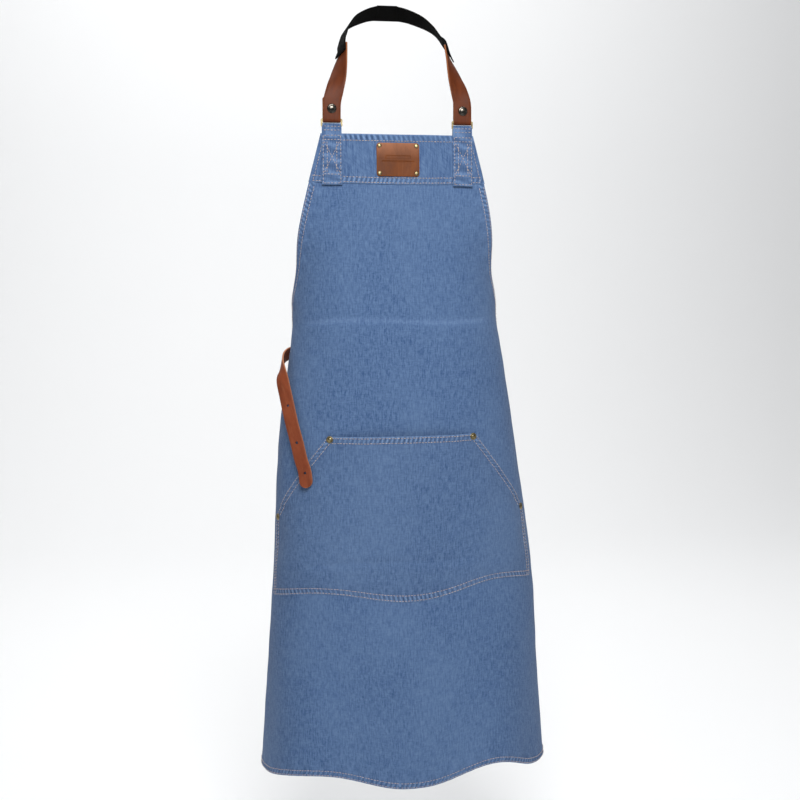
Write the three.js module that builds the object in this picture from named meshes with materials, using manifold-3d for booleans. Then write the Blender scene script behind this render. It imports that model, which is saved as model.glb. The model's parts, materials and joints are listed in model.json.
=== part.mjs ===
// A denim bib apron with leather straps, shaped as it hangs round a body from its neck loop.
// Millimetres, +Z up, the front faces -Y. The origin is the middle of the neck band's inner face,
// the place the apron hangs from. "Left" is the -X side, on the left when seen from the front.
import * as THREE from "three";
import { mergeVertices } from "three/addons/utils/BufferGeometryUtils.js";
import Module from "manifold-3d";

const wasm = await Module();
wasm.setup();

// ---- Driving dimensions ----
const GAP = 0.3; // air left between pieces that touch
const LENGTH = 900; // bib top to hem along the middle
const BIB_HALF = 104; // half the bib's width along its top edge
const BIB_FLARE = 0.255; // how much the half-width grows per millimetre down the bib
const BAND_DROP = 67; // depth of the doubled band across the bib's top
const CORNER_DROP = 300; // bib top to the side corners where the waist straps start
const CORNER_HALF = 325; // half the cloth's width just below the side corners
const HEM_HALF = 345; // half the cloth's width at the hem
const BIB_TOP_Z = -186; // height of the bib's top edge
const FRONT_Y = -140; // the foremost part of the skirt
const DENIM = 1.6; // one hemmed layer of denim
const FACING = 1.2; // a single layer sewn on top
const LEATHER = 2.4; // strap leather
const WEBBING = 1.8; // black neck band

// The cloth turns sideways this far along from the middle (second value) at each drop (first value).
const reach = smoothThrough([
  [0, 640], [67, 400], [150, 205], [230, 184], [310, 196], [410, 217], [600, 241], [LENGTH, 268],
]);
// The bib leans back from the skirt's front by this much at each drop.
const lean = smoothThrough([[0, 25], [150, 14], [300, 4], [420, 0], [LENGTH, 0]]);

// ---- Small helpers ----
function smoothThrough(points) {
  const slope = (i) => {
    const a = points[Math.max(i - 1, 0)];
    const b = points[Math.min(i + 1, points.length - 1)];
    return (b[1] - a[1]) / (b[0] - a[0]);
  };
  return (x) => {
    let i = 0;
    while (i < points.length - 2 && x > points[i + 1][0]) i++;
    const [x0, y0] = points[i];
    const [x1, y1] = points[i + 1];
    const h = x1 - x0;
    const t = THREE.MathUtils.clamp((x - x0) / h, 0, 1);
    const start = (2 * t ** 3 - 3 * t ** 2 + 1) * y0 + (t ** 3 - 2 * t ** 2 + t) * h * slope(i);
    return start + (3 * t ** 2 - 2 * t ** 3) * y1 + (t ** 3 - t ** 2) * h * slope(i + 1);
  };
}

const smoothstep = THREE.MathUtils.smoothstep;
const lerp = THREE.MathUtils.lerp;
const vec = (x, y, z) => new THREE.Vector3(x, y, z);

function closed(geometry) {
  geometry.deleteAttribute("normal");
  geometry.deleteAttribute("uv");
  const merged = mergeVertices(geometry, 1e-3);
  merged.computeVertexNormals();
  return merged;
}

// A box with segments, each of whose points goes where place(across, out, along) says:
// across 0..1 is left to right, out 0..1 is inner face to outer face, along 0..1 is top to bottom.
function bent(columns, rows, place) {
  const box = new THREE.BoxGeometry(1, 1, 1, columns, 1, rows);
  const p = box.attributes.position;
  for (let i = 0; i < p.count; i++) {
    const to = place(p.getX(i) + 0.5, 0.5 - p.getY(i), 0.5 - p.getZ(i));
    p.setXYZ(i, to.x, to.y, to.z);
  }
  return closed(box);
}

function solid(geometry) {
  const g = closed(geometry.clone());
  const made = new wasm.Mesh({
    numProp: 3,
    vertProperties: new Float32Array(g.attributes.position.array),
    triVerts: new Uint32Array(g.index.array),
  });
  return new wasm.Manifold(made);
}

function geometryOf(manifold) {
  const made = manifold.getMesh();
  const g = new THREE.BufferGeometry();
  g.setAttribute("position", new THREE.BufferAttribute(made.vertProperties, 3));
  g.setIndex(new THREE.BufferAttribute(made.triVerts, 1));
  g.computeVertexNormals();
  return g;
}

const cut = (geometry, ...tools) => geometryOf(tools.reduce((m, t) => m.subtract(solid(t)), solid(geometry)));

// ---- The cloth's surface ----
// s is the distance along the cloth from its centre line (+ to the right), v the drop below the bib top.
// The form inside isn't centred: its middle is this far to the right at each drop.
const formShift = smoothThrough([[0, 2], [120, 0], [225, 4.5], [290, 7.5], [420, 9.5], [640, 20], [LENGTH, 20]]);
const turn = (t, q) =>
  t <= q ? (Math.PI / 2) * (t / q) ** 2 : Math.PI / 2 + (Math.PI / 2) * (1 - Math.exp((-2 * (t - q)) / q));

function halfWidth(v) {
  if (v > CORNER_DROP) return lerp(CORNER_HALF, HEM_HALF, (v - CORNER_DROP) / (LENGTH - CORNER_DROP));
  const bib = BIB_HALF + BIB_FLARE * v;
  if (v < BAND_DROP) return bib;
  const t = (v - BAND_DROP) / (CORNER_DROP - BAND_DROP);
  const armhole = CORNER_HALF - BIB_HALF - BIB_FLARE * CORNER_DROP;
  return bib + armhole * (1 - Math.cbrt(1 - Math.min(t, 1) ** 3));
}

// The lower cloth sags between the middle and the hips, so its seams rise and fall a little.
function rise(s, v) {
  const [depth, power] = s > 12 ? [26, 3] : [18.5, 2];
  const span = Math.min(Math.abs(s - 12), 250);
  return depth * Math.max(0, (v - 406) / 494) ** 1.2 * Math.sin((Math.PI * span) / 250) ** power;
}

// A point of the cloth, raised off its outer face by `off`.
function onCloth(s, v, off) {
  const q = reach(v);
  const middle = formShift(v);
  const side = s >= middle ? 1 : -1;
  const t = Math.abs(s - middle);
  const steps = Math.max(1, Math.ceil(t / 5));
  let x = 0;
  let y = 0;
  for (let k = 0; k < steps; k++) {
    const angle = turn(((k + 0.5) * t) / steps, q);
    x += (Math.cos(angle) * t) / steps;
    y += (Math.sin(angle) * t) / steps;
  }
  const angle = turn(t, q);
  return vec(
    middle + side * (x + off * Math.sin(angle)),
    FRONT_Y + lean(v) + y - off * Math.cos(angle),
    BIB_TOP_Z - v + rise(s, v),
  );
}

// The cloth's own directions at a point: right and up along it, out of its face.
function clothFrame(s, v, off) {
  const face = onCloth(s, v, 0);
  const right = onCloth(s + 1, v, 0).sub(face).normalize();
  const down = onCloth(s, v + 1, 0).sub(face);
  const up = down.addScaledVector(right, -down.dot(right)).normalize().negate();
  const out = right.clone().cross(up);
  return { at: face.addScaledVector(out, off), out, right, up };
}

// ---- Apron cloth ----
// Rows crowd towards the side corners, where the armhole curve runs out flat.
function panelDrop(b) {
  if (b >= 0.5) return lerp(CORNER_DROP, LENGTH, (2 * b - 1) ** 1.4);
  return CORNER_DROP * (1 - (1 - 2 * b) ** 1.6);
}

function apronPanel() {
  return bent(26, 24, (a, out, b) => {
    const v = panelDrop(b);
    return onCloth((2 * a - 1) * halfWidth(v), v, (out - 1) * DENIM);
  });
}

const BAND_OFF = 0.5;
function bibBand() {
  return bent(12, 4, (a, out, b) => {
    const v = 0.5 + (BAND_DROP - 4 + 3 * Math.sin(Math.PI * a)) * b;
    return onCloth((2 * a - 1) * (halfWidth(v) - 0.5), v, BAND_OFF + out * FACING);
  });
}

const POCKET = { top: 406, hand: 521, bottom: 636, topHalf: 103, handHalf: 197, bottomHalf: 209, belly: 8, sewn: 1 / 9 };
function pocketHalf(v) {
  if (v < POCKET.hand) {
    return lerp(POCKET.topHalf, POCKET.handHalf, (v - POCKET.top) / (POCKET.hand - POCKET.top));
  }
  return lerp(POCKET.handHalf, POCKET.bottomHalf, (v - POCKET.hand) / (POCKET.bottom - POCKET.hand));
}

// The pocket sits a little to the right and rises to that side, and its bottom seam dips in the middle.
const POCKET_SHIFT = 3.5;
const pocketSag = smoothThrough([[-209, 0], [-100, -6], [18, 10], [125, -2], [213, 0]]);
function onPocketPlan(s, v) {
  const tilt = 0.01 + 0.00013 * (v - POCKET.top);
  const lower = Math.max(0, (v - POCKET.hand) / (POCKET.bottom - POCKET.hand));
  return [s + POCKET_SHIFT, v - s * tilt - 8 * smoothstep(lower, 0, 1) + pocketSag(s) * lower ** 2];
}

// The pocket is sewn down at its sides and bottom, and stands off the skirt in between.
function pocketPanel() {
  return bent(18, 10, (a, out, b) => {
    const v = lerp(POCKET.top, POCKET.bottom, b);
    const across = 2 * a - 1;
    const free = Math.min(1, Math.abs(across) / (1 - POCKET.sewn)); // flat where it is sewn down
    const slack = (1 - free ** 4) * (1 - b ** 4);
    return onCloth(...onPocketPlan(across * pocketHalf(v), v), 1.6 + POCKET.belly * slack + out * FACING);
  });
}

// ---- Neck loop hardware: a ring joins each leather strap to its denim tab ----
const TAB = { s: 89, half: 13.75, drop: 68, backDrop: 34, thick: 2.0, foldHalf: 12 };
const RING = { wire: 2.2, hole: 24.6, foldRadius: 2.0 };
const NECK_HALF = 12; // half the neck strap's width
const TAB_Y = onCloth(TAB.s, 0, (BAND_OFF + FACING - DENIM) / 2).y; // middle of the layers the tab straddles
const MEET_Z = BIB_TOP_Z + 14.5; // where the leather fold and the denim fold meet inside the ring
const LOW_BAR_Z = MEET_Z - GAP / 2 - TAB.thick - RING.foldRadius;
const HIGH_BAR_Z = MEET_Z + GAP / 2 + LEATHER + RING.foldRadius;
const BAR_SPACING = HIGH_BAR_Z - LOW_BAR_Z;

// A flat rectangular ring whose two long bars lie along x, centred on the origin, in the xz plane.
function ringGeometry() {
  const halfWide = RING.hole / 2 + RING.wire;
  const halfHigh = (BAR_SPACING + RING.wire) / 2;
  const shape = roundedRectangle(halfWide, halfHigh, 2);
  shape.holes.push(roundedRectangle(halfWide - RING.wire, halfHigh - RING.wire, 0.6));
  const g = new THREE.ExtrudeGeometry(shape, { depth: RING.wire, bevelEnabled: false, curveSegments: 3 });
  return g.translate(0, 0, -RING.wire / 2).rotateX(Math.PI / 2);
}

function roundedRectangle(halfWide, halfHigh, radius) {
  const shape = new THREE.Shape();
  const [w, h, r] = [halfWide, halfHigh, radius];
  shape.moveTo(w, h - r);
  shape.absarc(w - r, h - r, r, 0, Math.PI / 2);
  shape.absarc(-w + r, h - r, r, Math.PI / 2, Math.PI);
  shape.absarc(-w + r, -h + r, r, Math.PI, 1.5 * Math.PI);
  shape.absarc(w - r, -h + r, r, 1.5 * Math.PI, 2 * Math.PI);
  return shape;
}

// Points of a half circle round a bar, from angle `from` to angle `to`, in a plane given by two axes.
function arc(centre, radius, from, to, steps, axisA, axisB) {
  return Array.from({ length: steps + 1 }, (_, k) => {
    const angle = lerp(from, to, k / steps);
    const out = axisA.clone().multiplyScalar(Math.cos(angle)).addScaledVector(axisB, Math.sin(angle));
    return { at: centre.clone().addScaledVector(out, radius), out };
  });
}

// A flat strip that follows stations {at, out, half}: `at` is the middle of its thickness, `out` its
// outward normal, `half` its half-width there. The strip's width stays square to its run and to `out`.
function strip(stations, thick, half) {
  const last = stations.length - 1;
  const frames = stations.map((station, i) => {
    const run = stations[Math.min(i + 1, last)].at.clone().sub(stations[Math.max(i - 1, 0)].at).normalize();
    const out = station.out.clone().addScaledVector(run, -station.out.dot(run)).normalize();
    return { at: station.at, out, wide: out.clone().cross(run), half: station.half ?? half };
  });
  return bent(2, last, (a, out, b) => {
    const frame = frames[Math.round(b * last)];
    return frame.at
      .clone()
      .addScaledVector(frame.wide, (2 * a - 1) * frame.half)
      .addScaledVector(frame.out, (out - 0.5) * thick);
  });
}

// Smooth stations through a few points and outward normals.
function smoothStations(points, count) {
  const path = new THREE.CatmullRomCurve3(points.map((p) => vec(...p.at)));
  const face = new THREE.CatmullRomCurve3(points.map((p) => vec(...p.out)));
  return Array.from({ length: count + 1 }, (_, k) => ({
    at: path.getPoint(k / count),
    out: face.getPoint(k / count).normalize(),
  }));
}

const FRONT = vec(0, -1, 0);
const UP = vec(0, 0, 1);

// Denim tab: up the front of the band, over the ring's lower bar, and down behind the panel.
function strapTab(side) {
  const x = side * TAB.s;
  const radius = RING.foldRadius + TAB.thick / 2;
  const bar = vec(x, TAB_Y, LOW_BAR_Z);
  const layer = (v, off, sign) => {
    const frame = clothFrame(x, v, off);
    return { at: frame.at, out: frame.out.multiplyScalar(sign) };
  };
  const frontOff = BAND_OFF + FACING + 0.45 + TAB.thick / 2;
  const backOff = -(DENIM + 0.45 + TAB.thick / 2);
  const front = [TAB.drop, 45, 22, 4].map((v) => layer(v, frontOff, 1));
  const fold = arc(bar, radius, 0, Math.PI, 8, FRONT, UP).map((p) => ({ ...p, half: TAB.foldHalf }));
  const back = [4, 18, TAB.backDrop].map((v) => layer(v, backOff, -1));
  return strip([...front, ...fold, ...back], TAB.thick, TAB.half);
}

const FOLD_MID = RING.foldRadius + LEATHER / 2; // from a bar to the middle of the leather round it
// Half of the neck loop's route, from the ring up over the shoulder, on the +X side.
const NECK_ROUTE = [
  { at: [TAB.s, TAB_Y - FOLD_MID, -162], out: [0, -1, 0] },
  { at: [88.4, TAB_Y - FOLD_MID, -144], out: [0, -1, 0] },
  { at: [84.4, -115.6, -127], out: [0.2, -0.97, 0.1] },
  { at: [79.9, -112, -111], out: [0.48, -0.84, 0.25] },
  { at: [74, -101.5, -84], out: [0.84, -0.45, 0.3] },
  { at: [70.6, -91, -67], out: [0.93, -0.15, 0.35] },
];
const BAND_ROUTE = [
  { at: [72.9, -98.5, -78.5], out: [0.87, -0.37, 0.32] },
  { at: [70.4, -90.5, -66.3], out: [0.93, -0.14, 0.36] },
  { at: [67.4, -69, -54.5], out: [0.82, 0.05, 0.57] },
  { at: [60, -46, -34.5], out: [0.6, 0.25, 0.76] },
  { at: [49.8, -29.5, -21], out: [0.4, 0.45, 0.8] },
  { at: [28.5, -11, -7], out: [0.14, 0.63, 0.76] },
];
const mirrored = (point, side) => ({
  at: [side * point.at[0], point.at[1], point.at[2]],
  out: [side * point.out[0], point.out[1], point.out[2]],
});

const TAIL = { start: 4.5, end: 30 }; // heights of the folded-back tail above the ring's upper bar

function neckStrap(side) {
  const bar = vec(side * TAB.s, TAB_Y, HIGH_BAR_Z);
  const fold = arc(bar, FOLD_MID, Math.PI, 2 * Math.PI, 8, FRONT, UP);
  const rear = { at: fold[0].at.clone().setZ(HIGH_BAR_Z + TAIL.start - 1.5), out: fold[0].out };
  const rise = smoothStations(NECK_ROUTE.map((p) => mirrored(p, side)), 14);
  return strip([rear, ...fold, ...rise], LEATHER, NECK_HALF);
}

function neckTail(side) {
  const y = TAB_Y + FOLD_MID;
  const at = (z) => ({ at: vec(side * TAB.s, y, HIGH_BAR_Z + z), out: vec(0, 1, 0) });
  return strip([at(TAIL.start), at(16), at(TAIL.end)], LEATHER, NECK_HALF);
}

// The neck band is one strip from shoulder to shoulder, straight and flat across its middle.
const BAND_FACE = vec(0, 1, 1).normalize(); // its outer side at the middle, up and back
function neckBand() {
  const left = BAND_ROUTE.map((p) => mirrored(p, -1));
  const middle = [-15, 15].map((x) => ({
    at: [x, (BAND_FACE.y * WEBBING) / 2, (BAND_FACE.z * WEBBING) / 2],
    out: BAND_FACE.toArray(),
  }));
  const lift = LEATHER / 2 + WEBBING / 2 + 3 * GAP;
  const side = (points) => smoothStations(points, 12).map((p) => ({ ...p, at: p.at.addScaledVector(p.out, lift) }));
  const end = { at: [15, middle[1].at[1] - BAND_FACE.y * lift, middle[1].at[2] - BAND_FACE.z * lift], out: middle[1].out };
  const right = side([...BAND_ROUTE, end]);
  const leftSide = side([...left, mirrored(end, -1)]);
  return strip([...leftSide, ...right.reverse()], WEBBING, 12.5);
}

// ---- Turned metal pieces ----
// A turned solid about the y axis through the origin; each point is [radius, height].
const turned = (points) => new THREE.LatheGeometry(points.map(([r, h]) => new THREE.Vector2(r, h)), 16);
const facing = (geometry, at, axis) =>
  geometry
    .applyQuaternion(new THREE.Quaternion().setFromUnitVectors(vec(0, 1, 0), axis.clone().normalize()))
    .translate(at.x, at.y, at.z);
const mesh = (name, geometry, material) => Object.assign(new THREE.Mesh(geometry, material), { name });

const HOLE = 1.3;
const POST = 1.0;
const drill = (at, axis, length) => facing(new THREE.CylinderGeometry(HOLE, HOLE, length, 12), at, axis);

// A rivet's cap and post: the cap sits on the layer's outer face at height 0, the post goes down.
const capAndPost = (radius, high, post) =>
  turned([
    [0, -post], [POST, -post], [POST, 0], [radius, 0], [radius, high * 0.35],
    [radius * 0.75, high * 0.8], [radius * 0.4, high * 0.97], [0, high],
  ]);
// The burr is a washer round the end of the post.
const burr = (radius, thick) => turned([[HOLE, 0], [radius, 0], [radius * 0.9, thick], [HOLE, thick], [HOLE, 0]]);

// ---- Press studs on the neck straps: cap, socket behind it, and a stud on the folded tail ----
const STUD_Z = HIGH_BAR_Z + 14;
const SNAP_AXIS = vec(0, 1, 0);
const studCentre = (side) => vec(side * TAB.s, TAB_Y, STUD_Z);
const FRONT_FACE = FOLD_MID + LEATHER / 2; // from the middle of the loop to its outer faces

function snapCap() {
  const cap = capAndPost(6.3, 2.5, LEATHER + 2 * GAP + 0.9);
  return cap.rotateX(Math.PI).translate(0, -FRONT_FACE - 2 * GAP, 0);
}

function snapSocket() {
  const [rear, front] = [0.6, -FOLD_MID + LEATHER / 2 + GAP];
  return turned([[HOLE, front], [4.6, front], [4.6, rear], [2.1, rear], [2.1, -0.9], [HOLE, -0.9], [HOLE, front]]);
}

function snapStud() {
  const inner = FOLD_MID - LEATHER / 2 - GAP;
  return turned([
    [0, -0.5], [1.3, -0.5], [1.6, 0], [1.6, 1], [4.2, 1], [4.2, inner], [POST, inner], [POST, FRONT_FACE + GAP],
    [5, FRONT_FACE + GAP], [4.4, FRONT_FACE + 1.7], [0, FRONT_FACE + 1.9],
  ]);
}

const studHole = (side) => drill(studCentre(side), SNAP_AXIS, 20);

// ---- Waist tabs, rings and straps, at the side corners ----
const WAIST = { drop: 334, strapHalf: 9.5, tabHalf: 12, tabRun: 42, clear: 6.5 };
const waistEdge = halfWidth(WAIST.drop);

function waistFrame(side) {
  const { at, out, right, up } = clothFrame(side * waistEdge, WAIST.drop, -DENIM / 2);
  const along = right.multiplyScalar(side); // away from the centre line, along the cloth
  const nearBar = at.clone().addScaledVector(along, WAIST.clear);
  const farBar = nearBar.clone().addScaledVector(along, BAR_SPACING);
  const lead = out.clone().addScaledVector(along, -0.2).normalize(); // the strap's loop points out
  const face = along.clone().addScaledVector(lead, -along.dot(lead)).normalize();
  return { out, along, up, nearBar, farBar, lead, face };
}

// Denim tab: along the outside of the cloth, past its edge, round the ring's near bar and back inside.
function waistTab(side) {
  const { out, along, nearBar } = waistFrame(side);
  const off = 0.8 + TAB.thick / 2;
  const layer = (back, high, sign) => {
    const frame = clothFrame(side * (waistEdge - back), WAIST.drop, high);
    return { at: frame.at, out: frame.out.multiplyScalar(sign) };
  };
  const outer = [WAIST.tabRun, 30, 16, 3].map((back) => layer(back, off, 1));
  const inner = [3, 16, 30].map((back) => layer(back, -DENIM - off, -1));
  const fold = arc(nearBar, RING.foldRadius + TAB.thick / 2, 0, Math.PI, 8, out, along);
  return strip([...outer, ...fold, ...inner], TAB.thick, WAIST.tabHalf);
}

function waistRing(side) {
  const { along, up, nearBar, farBar } = waistFrame(side);
  const basis = new THREE.Matrix4().makeBasis(up, along.clone().cross(up), along);
  return ringGeometry().applyMatrix4(basis.setPosition(nearBar.clone().lerp(farBar, 0.5)));
}

// A strap's end folded round a bar: the short layer comes to the bar, the long one leaves it.
const PINCH = (LEATHER + GAP) / 2; // each layer's distance from the middle where a rivet holds them
const LOOP = { long: 24, rivet: 15 };
function loopStations(bar, lead, face) {
  const layer = (run, high, sign) => ({
    at: bar.clone().addScaledVector(lead, run).addScaledVector(face, sign * high),
    out: face.clone().multiplyScalar(sign),
  });
  const spread = [[LOOP.long, PINCH], [LOOP.rivet, PINCH], [9, PINCH + 0.4], [4, FOLD_MID - 0.5]];
  const fold = arc(bar, FOLD_MID, -Math.PI / 2, -1.5 * Math.PI, 8, lead, face);
  const short = spread.map(([run, high]) => layer(run, high, -1));
  const long = spread.toReversed().map(([run, high]) => layer(run, high, 1));
  return [...short, ...fold, ...long];
}

// A strap's station lying off the cloth, its face turned by `lean` from the cloth's own towards the front.
const fromCloth = ([s, v, off, lean = 0]) => {
  const frame = clothFrame(s, v, off);
  return { at: frame.at.toArray(), out: frame.out.lerp(FRONT, lean).normalize().toArray() };
};
const inSpace = ([x, y, z, nx, ny, nz]) => ({ at: [x, y, z], out: [nx, ny, nz] });

// Left strap: from its loop it doubles back round the side and falls across the front.
const LEFT_TURN = [[-89, 84, -512, 0.25, 0.97, 0], [-105, 71, -509, -0.6, 0.8, 0]];
const LEFT_BEHIND = [[-285, 318, 10], [-262, 309, 8], [-240, 303, 8], [-222, 300, 8.5], [-207, 305, 10]];
const LEFT_BULGE = [[-156.5, -66, -505, -0.8, -0.6, 0], [-155.5, -79, -520, -0.45, -0.89, 0]];
const LEFT_DRAPE = [
  [-162.5, 351.5, 10.5, 0.6], [-157, 368, 9.3, 0.6], [-149.5, 391.5, 8.3, 0.5], [-141, 417, 7.8, 0.5],
  [-134.5, 439.5, 8.2, 0.4], [-128, 458.5, 8.8, 0.4], [-124.8, 479, 11.3, 0.3],
];
const PUNCHED = [[-157, 368], [-141, 417], [-128, 458.5]]; // centres of the strap's holes, on the cloth
function waistStrapLeft() {
  const { farBar, lead, face } = waistFrame(-1);
  const loop = loopStations(farBar, lead, face);
  const start = loop.at(-1);
  const behind = [...LEFT_TURN.map(inSpace), ...LEFT_BEHIND.map(fromCloth)];
  const route = [...behind, ...LEFT_BULGE.map(inSpace), ...LEFT_DRAPE.map(fromCloth)];
  const body = smoothStations([{ at: start.at.toArray(), out: start.out.toArray() }, ...route], 60).slice(1);
  const tip = body.at(-1).at;
  const radius = WAIST.strapHalf;
  const rounded = body.map((p) => {
    const short = Math.max(0, radius - p.at.distanceTo(tip));
    return { ...p, half: Math.max(2, Math.sqrt(radius ** 2 - short ** 2)) };
  });
  const holes = PUNCHED.map(([s, v]) => {
    const frame = clothFrame(s, v, 8.5);
    const through = frame.out.lerp(FRONT, 0.5).normalize();
    return facing(new THREE.CylinderGeometry(2, 2, 16, 10), frame.at, through);
  });
  return cut(strip([...loop, ...rounded], LEATHER, radius), loopHole(-1), ...holes);
}

const loopRivetAt = (side, high) => {
  const { farBar, lead, face } = waistFrame(side);
  return farBar.addScaledVector(lead, LOOP.rivet).addScaledVector(face, high);
};
const loopHole = (side) => drill(loopRivetAt(side, 0), waistFrame(side).face, 20);
const LOOP_FACE = PINCH + LEATHER / 2 + GAP;

// Right strap: from its loop it droops and hangs straight down behind, with the buckle at its end.
const BUCKLE = { x: 126, y: 104, barZ: -704, innerHalf: 10.5, innerHigh: 18, wire: 2.4, slot: 5 };
function waistStrapRight() {
  const { farBar, lead, face } = waistFrame(1);
  const loop = loopStations(farBar, lead, face);
  const start = loop.at(-1);
  const droop = [
    { at: start.at.toArray(), out: start.out.toArray() },
    inSpace([121, 83, -518, -0.7, 0.7, 0]),
    inSpace([BUCKLE.x - 1, BUCKLE.y - 6, -534, -0.45, 0.9, 0]),
    inSpace([BUCKLE.x, BUCKLE.y, -562, -0.1, 1, 0]),
    inSpace([BUCKLE.x, BUCKLE.y, -600, 0, 1, 0]),
    inSpace([BUCKLE.x, BUCKLE.y, BUCKLE.barZ + LOOP.long, 0, 1, 0]),
  ];
  const end = loopStations(buckleBar(), UP, vec(0, 1, 0)).reverse();
  const stations = [...loop, ...smoothStations(droop, 30).slice(1, -1), ...end];
  const slot = new THREE.BoxGeometry(BUCKLE.slot, 30, 12).translate(BUCKLE.x, BUCKLE.y, BUCKLE.barZ + 0.5);
  const rivetHole = drill(buckleRivetAt(0), vec(0, 1, 0), 20);
  return cut(strip(stations, LEATHER, WAIST.strapHalf), loopHole(1), slot, rivetHole);
}
const buckleBar = () => vec(BUCKLE.x, BUCKLE.y - PINCH, BUCKLE.barZ);
const buckleRivetAt = (high) => buckleBar().add(vec(0, high, LOOP.rivet));

function buckleFrame() {
  const { innerHalf, innerHigh, wire } = BUCKLE;
  const shape = roundedRectangle(innerHalf + wire, innerHigh / 2 + wire, 3);
  shape.holes.push(roundedRectangle(innerHalf, innerHigh / 2, 1.2));
  const g = new THREE.ExtrudeGeometry(shape, { depth: wire, bevelEnabled: false, curveSegments: 4 });
  g.translate(0, 0, -wire / 2).rotateX(Math.PI / 2);
  const bar = buckleBar();
  return g.translate(bar.x, bar.y, bar.z - (innerHigh + wire) / 2);
}

// The prong's eye turns on the frame's bar; its arm lies across the frame's far side.
function buckleProng() {
  const [eye, armIn, tip, thick] = [3.4, 1.6, 22.4, 3];
  const meet = Math.asin(armIn / eye);
  const shape = new THREE.Shape();
  shape.moveTo(tip, armIn);
  shape.lineTo(tip, armIn + 1.3);
  shape.lineTo(0, eye);
  shape.absarc(0, 0, eye, Math.PI / 2, 2 * Math.PI + meet);
  const hole = new THREE.Path();
  hole.absarc(0, 0, 1.9, 0, 2 * Math.PI);
  shape.holes.push(hole);
  const g = new THREE.ExtrudeGeometry(shape, { depth: thick, bevelEnabled: false, curveSegments: 8 });
  const bar = buckleBar();
  const basis = new THREE.Matrix4().makeBasis(vec(0, 0, -1), vec(0, 1, 0), vec(1, 0, 0));
  return g.translate(0, 0, -thick / 2).applyMatrix4(basis.setPosition(bar));
}

// A leather keeper round the right strap, loose enough for the other strap's tip.
function keeper() {
  const wall = 1.6;
  const [halfWide, halfDeep, high] = [WAIST.strapHalf + 0.6 + wall, 3.2 + wall, 9];
  const shape = roundedRectangle(halfWide, halfDeep, 1.5);
  shape.holes.push(roundedRectangle(halfWide - wall, halfDeep - wall, 0.8));
  const g = new THREE.ExtrudeGeometry(shape, { depth: high, bevelEnabled: false, curveSegments: 3 });
  return g.translate(BUCKLE.x, BUCKLE.y + halfDeep - wall - LEATHER / 2 - GAP, BUCKLE.barZ + 46);
}

// ---- Label on the band, with a stud in each corner ----
const LABEL = { halfWide: 29, drop: 33.5, halfHigh: 22.5, thick: 1.8, studX: 25, studHigh: 18.5 };
function labelFrame() {
  const off = BAND_OFF + FACING + 0.4;
  const low = onCloth(0, LABEL.drop + LABEL.studHigh, off);
  const high = onCloth(0, LABEL.drop - LABEL.studHigh, off);
  const up = high.sub(low).normalize();
  const right = vec(1, 0, 0);
  const back = up.clone().cross(right);
  const basis = new THREE.Matrix4().makeBasis(right, back, up);
  return basis.setPosition(onCloth(0, LABEL.drop, off));
}
function labelPatch() {
  const shape = roundedRectangle(LABEL.halfWide, LABEL.halfHigh, 4);
  const g = new THREE.ExtrudeGeometry(shape, { depth: LABEL.thick, bevelEnabled: false, curveSegments: 4 });
  g.rotateX(Math.PI / 2);
  const holes = labelCorners.map(([x, z]) => drill(vec(x, 0, z), vec(0, 1, 0), 10));
  return cut(g, ...holes).applyMatrix4(labelFrame());
}
const labelCorners = [[-1, 1], [1, 1], [-1, -1], [1, -1]].map(([i, j]) => [i * LABEL.studX, j * LABEL.studHigh]);
const labelRivet = ([x, z]) =>
  capAndPost(2.9, 1.1, LABEL.thick).rotateX(Math.PI).translate(x, -LABEL.thick - GAP, z).applyMatrix4(labelFrame());

// ---- Pocket rivets, through the pocket and the panel, with burrs inside ----
const pocketCorners = [
  [-POCKET.topHalf + 4, POCKET.top + 4], [POCKET.topHalf - 4, POCKET.top + 4],
  [-POCKET.handHalf + 5, POCKET.hand + 1], [POCKET.handHalf - 5, POCKET.hand + 1],
];
const POCKET_FACE = 1.6 + FACING; // pocket's outer face above the panel's where it is sewn down
const pocketRivets = pocketCorners.map(([s, v]) => {
  const { at, out } = clothFrame(...onPocketPlan(s, v), 0);
  return { at, out, hole: drill(at, out, 60) };
});
const BURR_BACK = DENIM + 2.2; // the burr's far face behind the panel's outer face
function pocketRivet({ at, out }) {
  const lift = POCKET_FACE + 1.1;
  return facing(capAndPost(4.9, 2, lift + BURR_BACK - 0.2), at.clone().addScaledVector(out, lift), out);
}
const pocketBurr = ({ at, out }) => facing(burr(4.2, 0.9), at.clone().addScaledVector(out, -BURR_BACK), out);

// ---- Assembly ----
const material = (color, roughness, metalness = 0) => new THREE.MeshStandardMaterial({ color, roughness, metalness });
const denim = material(0x5a78a4, 0.95);
const leather = material(0x84482e, 0.55);
const webbing = material(0x0b0b0a, 0.9);
const gunmetal = material(0x49453d, 0.3, 1);
const brass = material(0x7c6f48, 0.4, 1);

const apron = new THREE.Group();
const add = (name, geometry, stuff) => apron.add(mesh(name, geometry, stuff));

add("apron_panel", cut(apronPanel(), ...pocketRivets.map((r) => r.hole)), denim);
add("bib_band", bibBand(), denim);
add("pocket_panel", cut(pocketPanel(), ...pocketRivets.map((r) => r.hole)), denim);
add("neck_band", neckBand(), webbing);
add("label_patch", labelPatch(), leather);
labelCorners.forEach((corner, i) => add(`label_rivet_${i + 1}`, labelRivet(corner), brass));
pocketRivets.forEach((rivet, i) => {
  add(`pocket_rivet_${i + 1}`, pocketRivet(rivet), brass);
  add(`pocket_burr_${i + 1}`, pocketBurr(rivet), brass);
});

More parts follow.
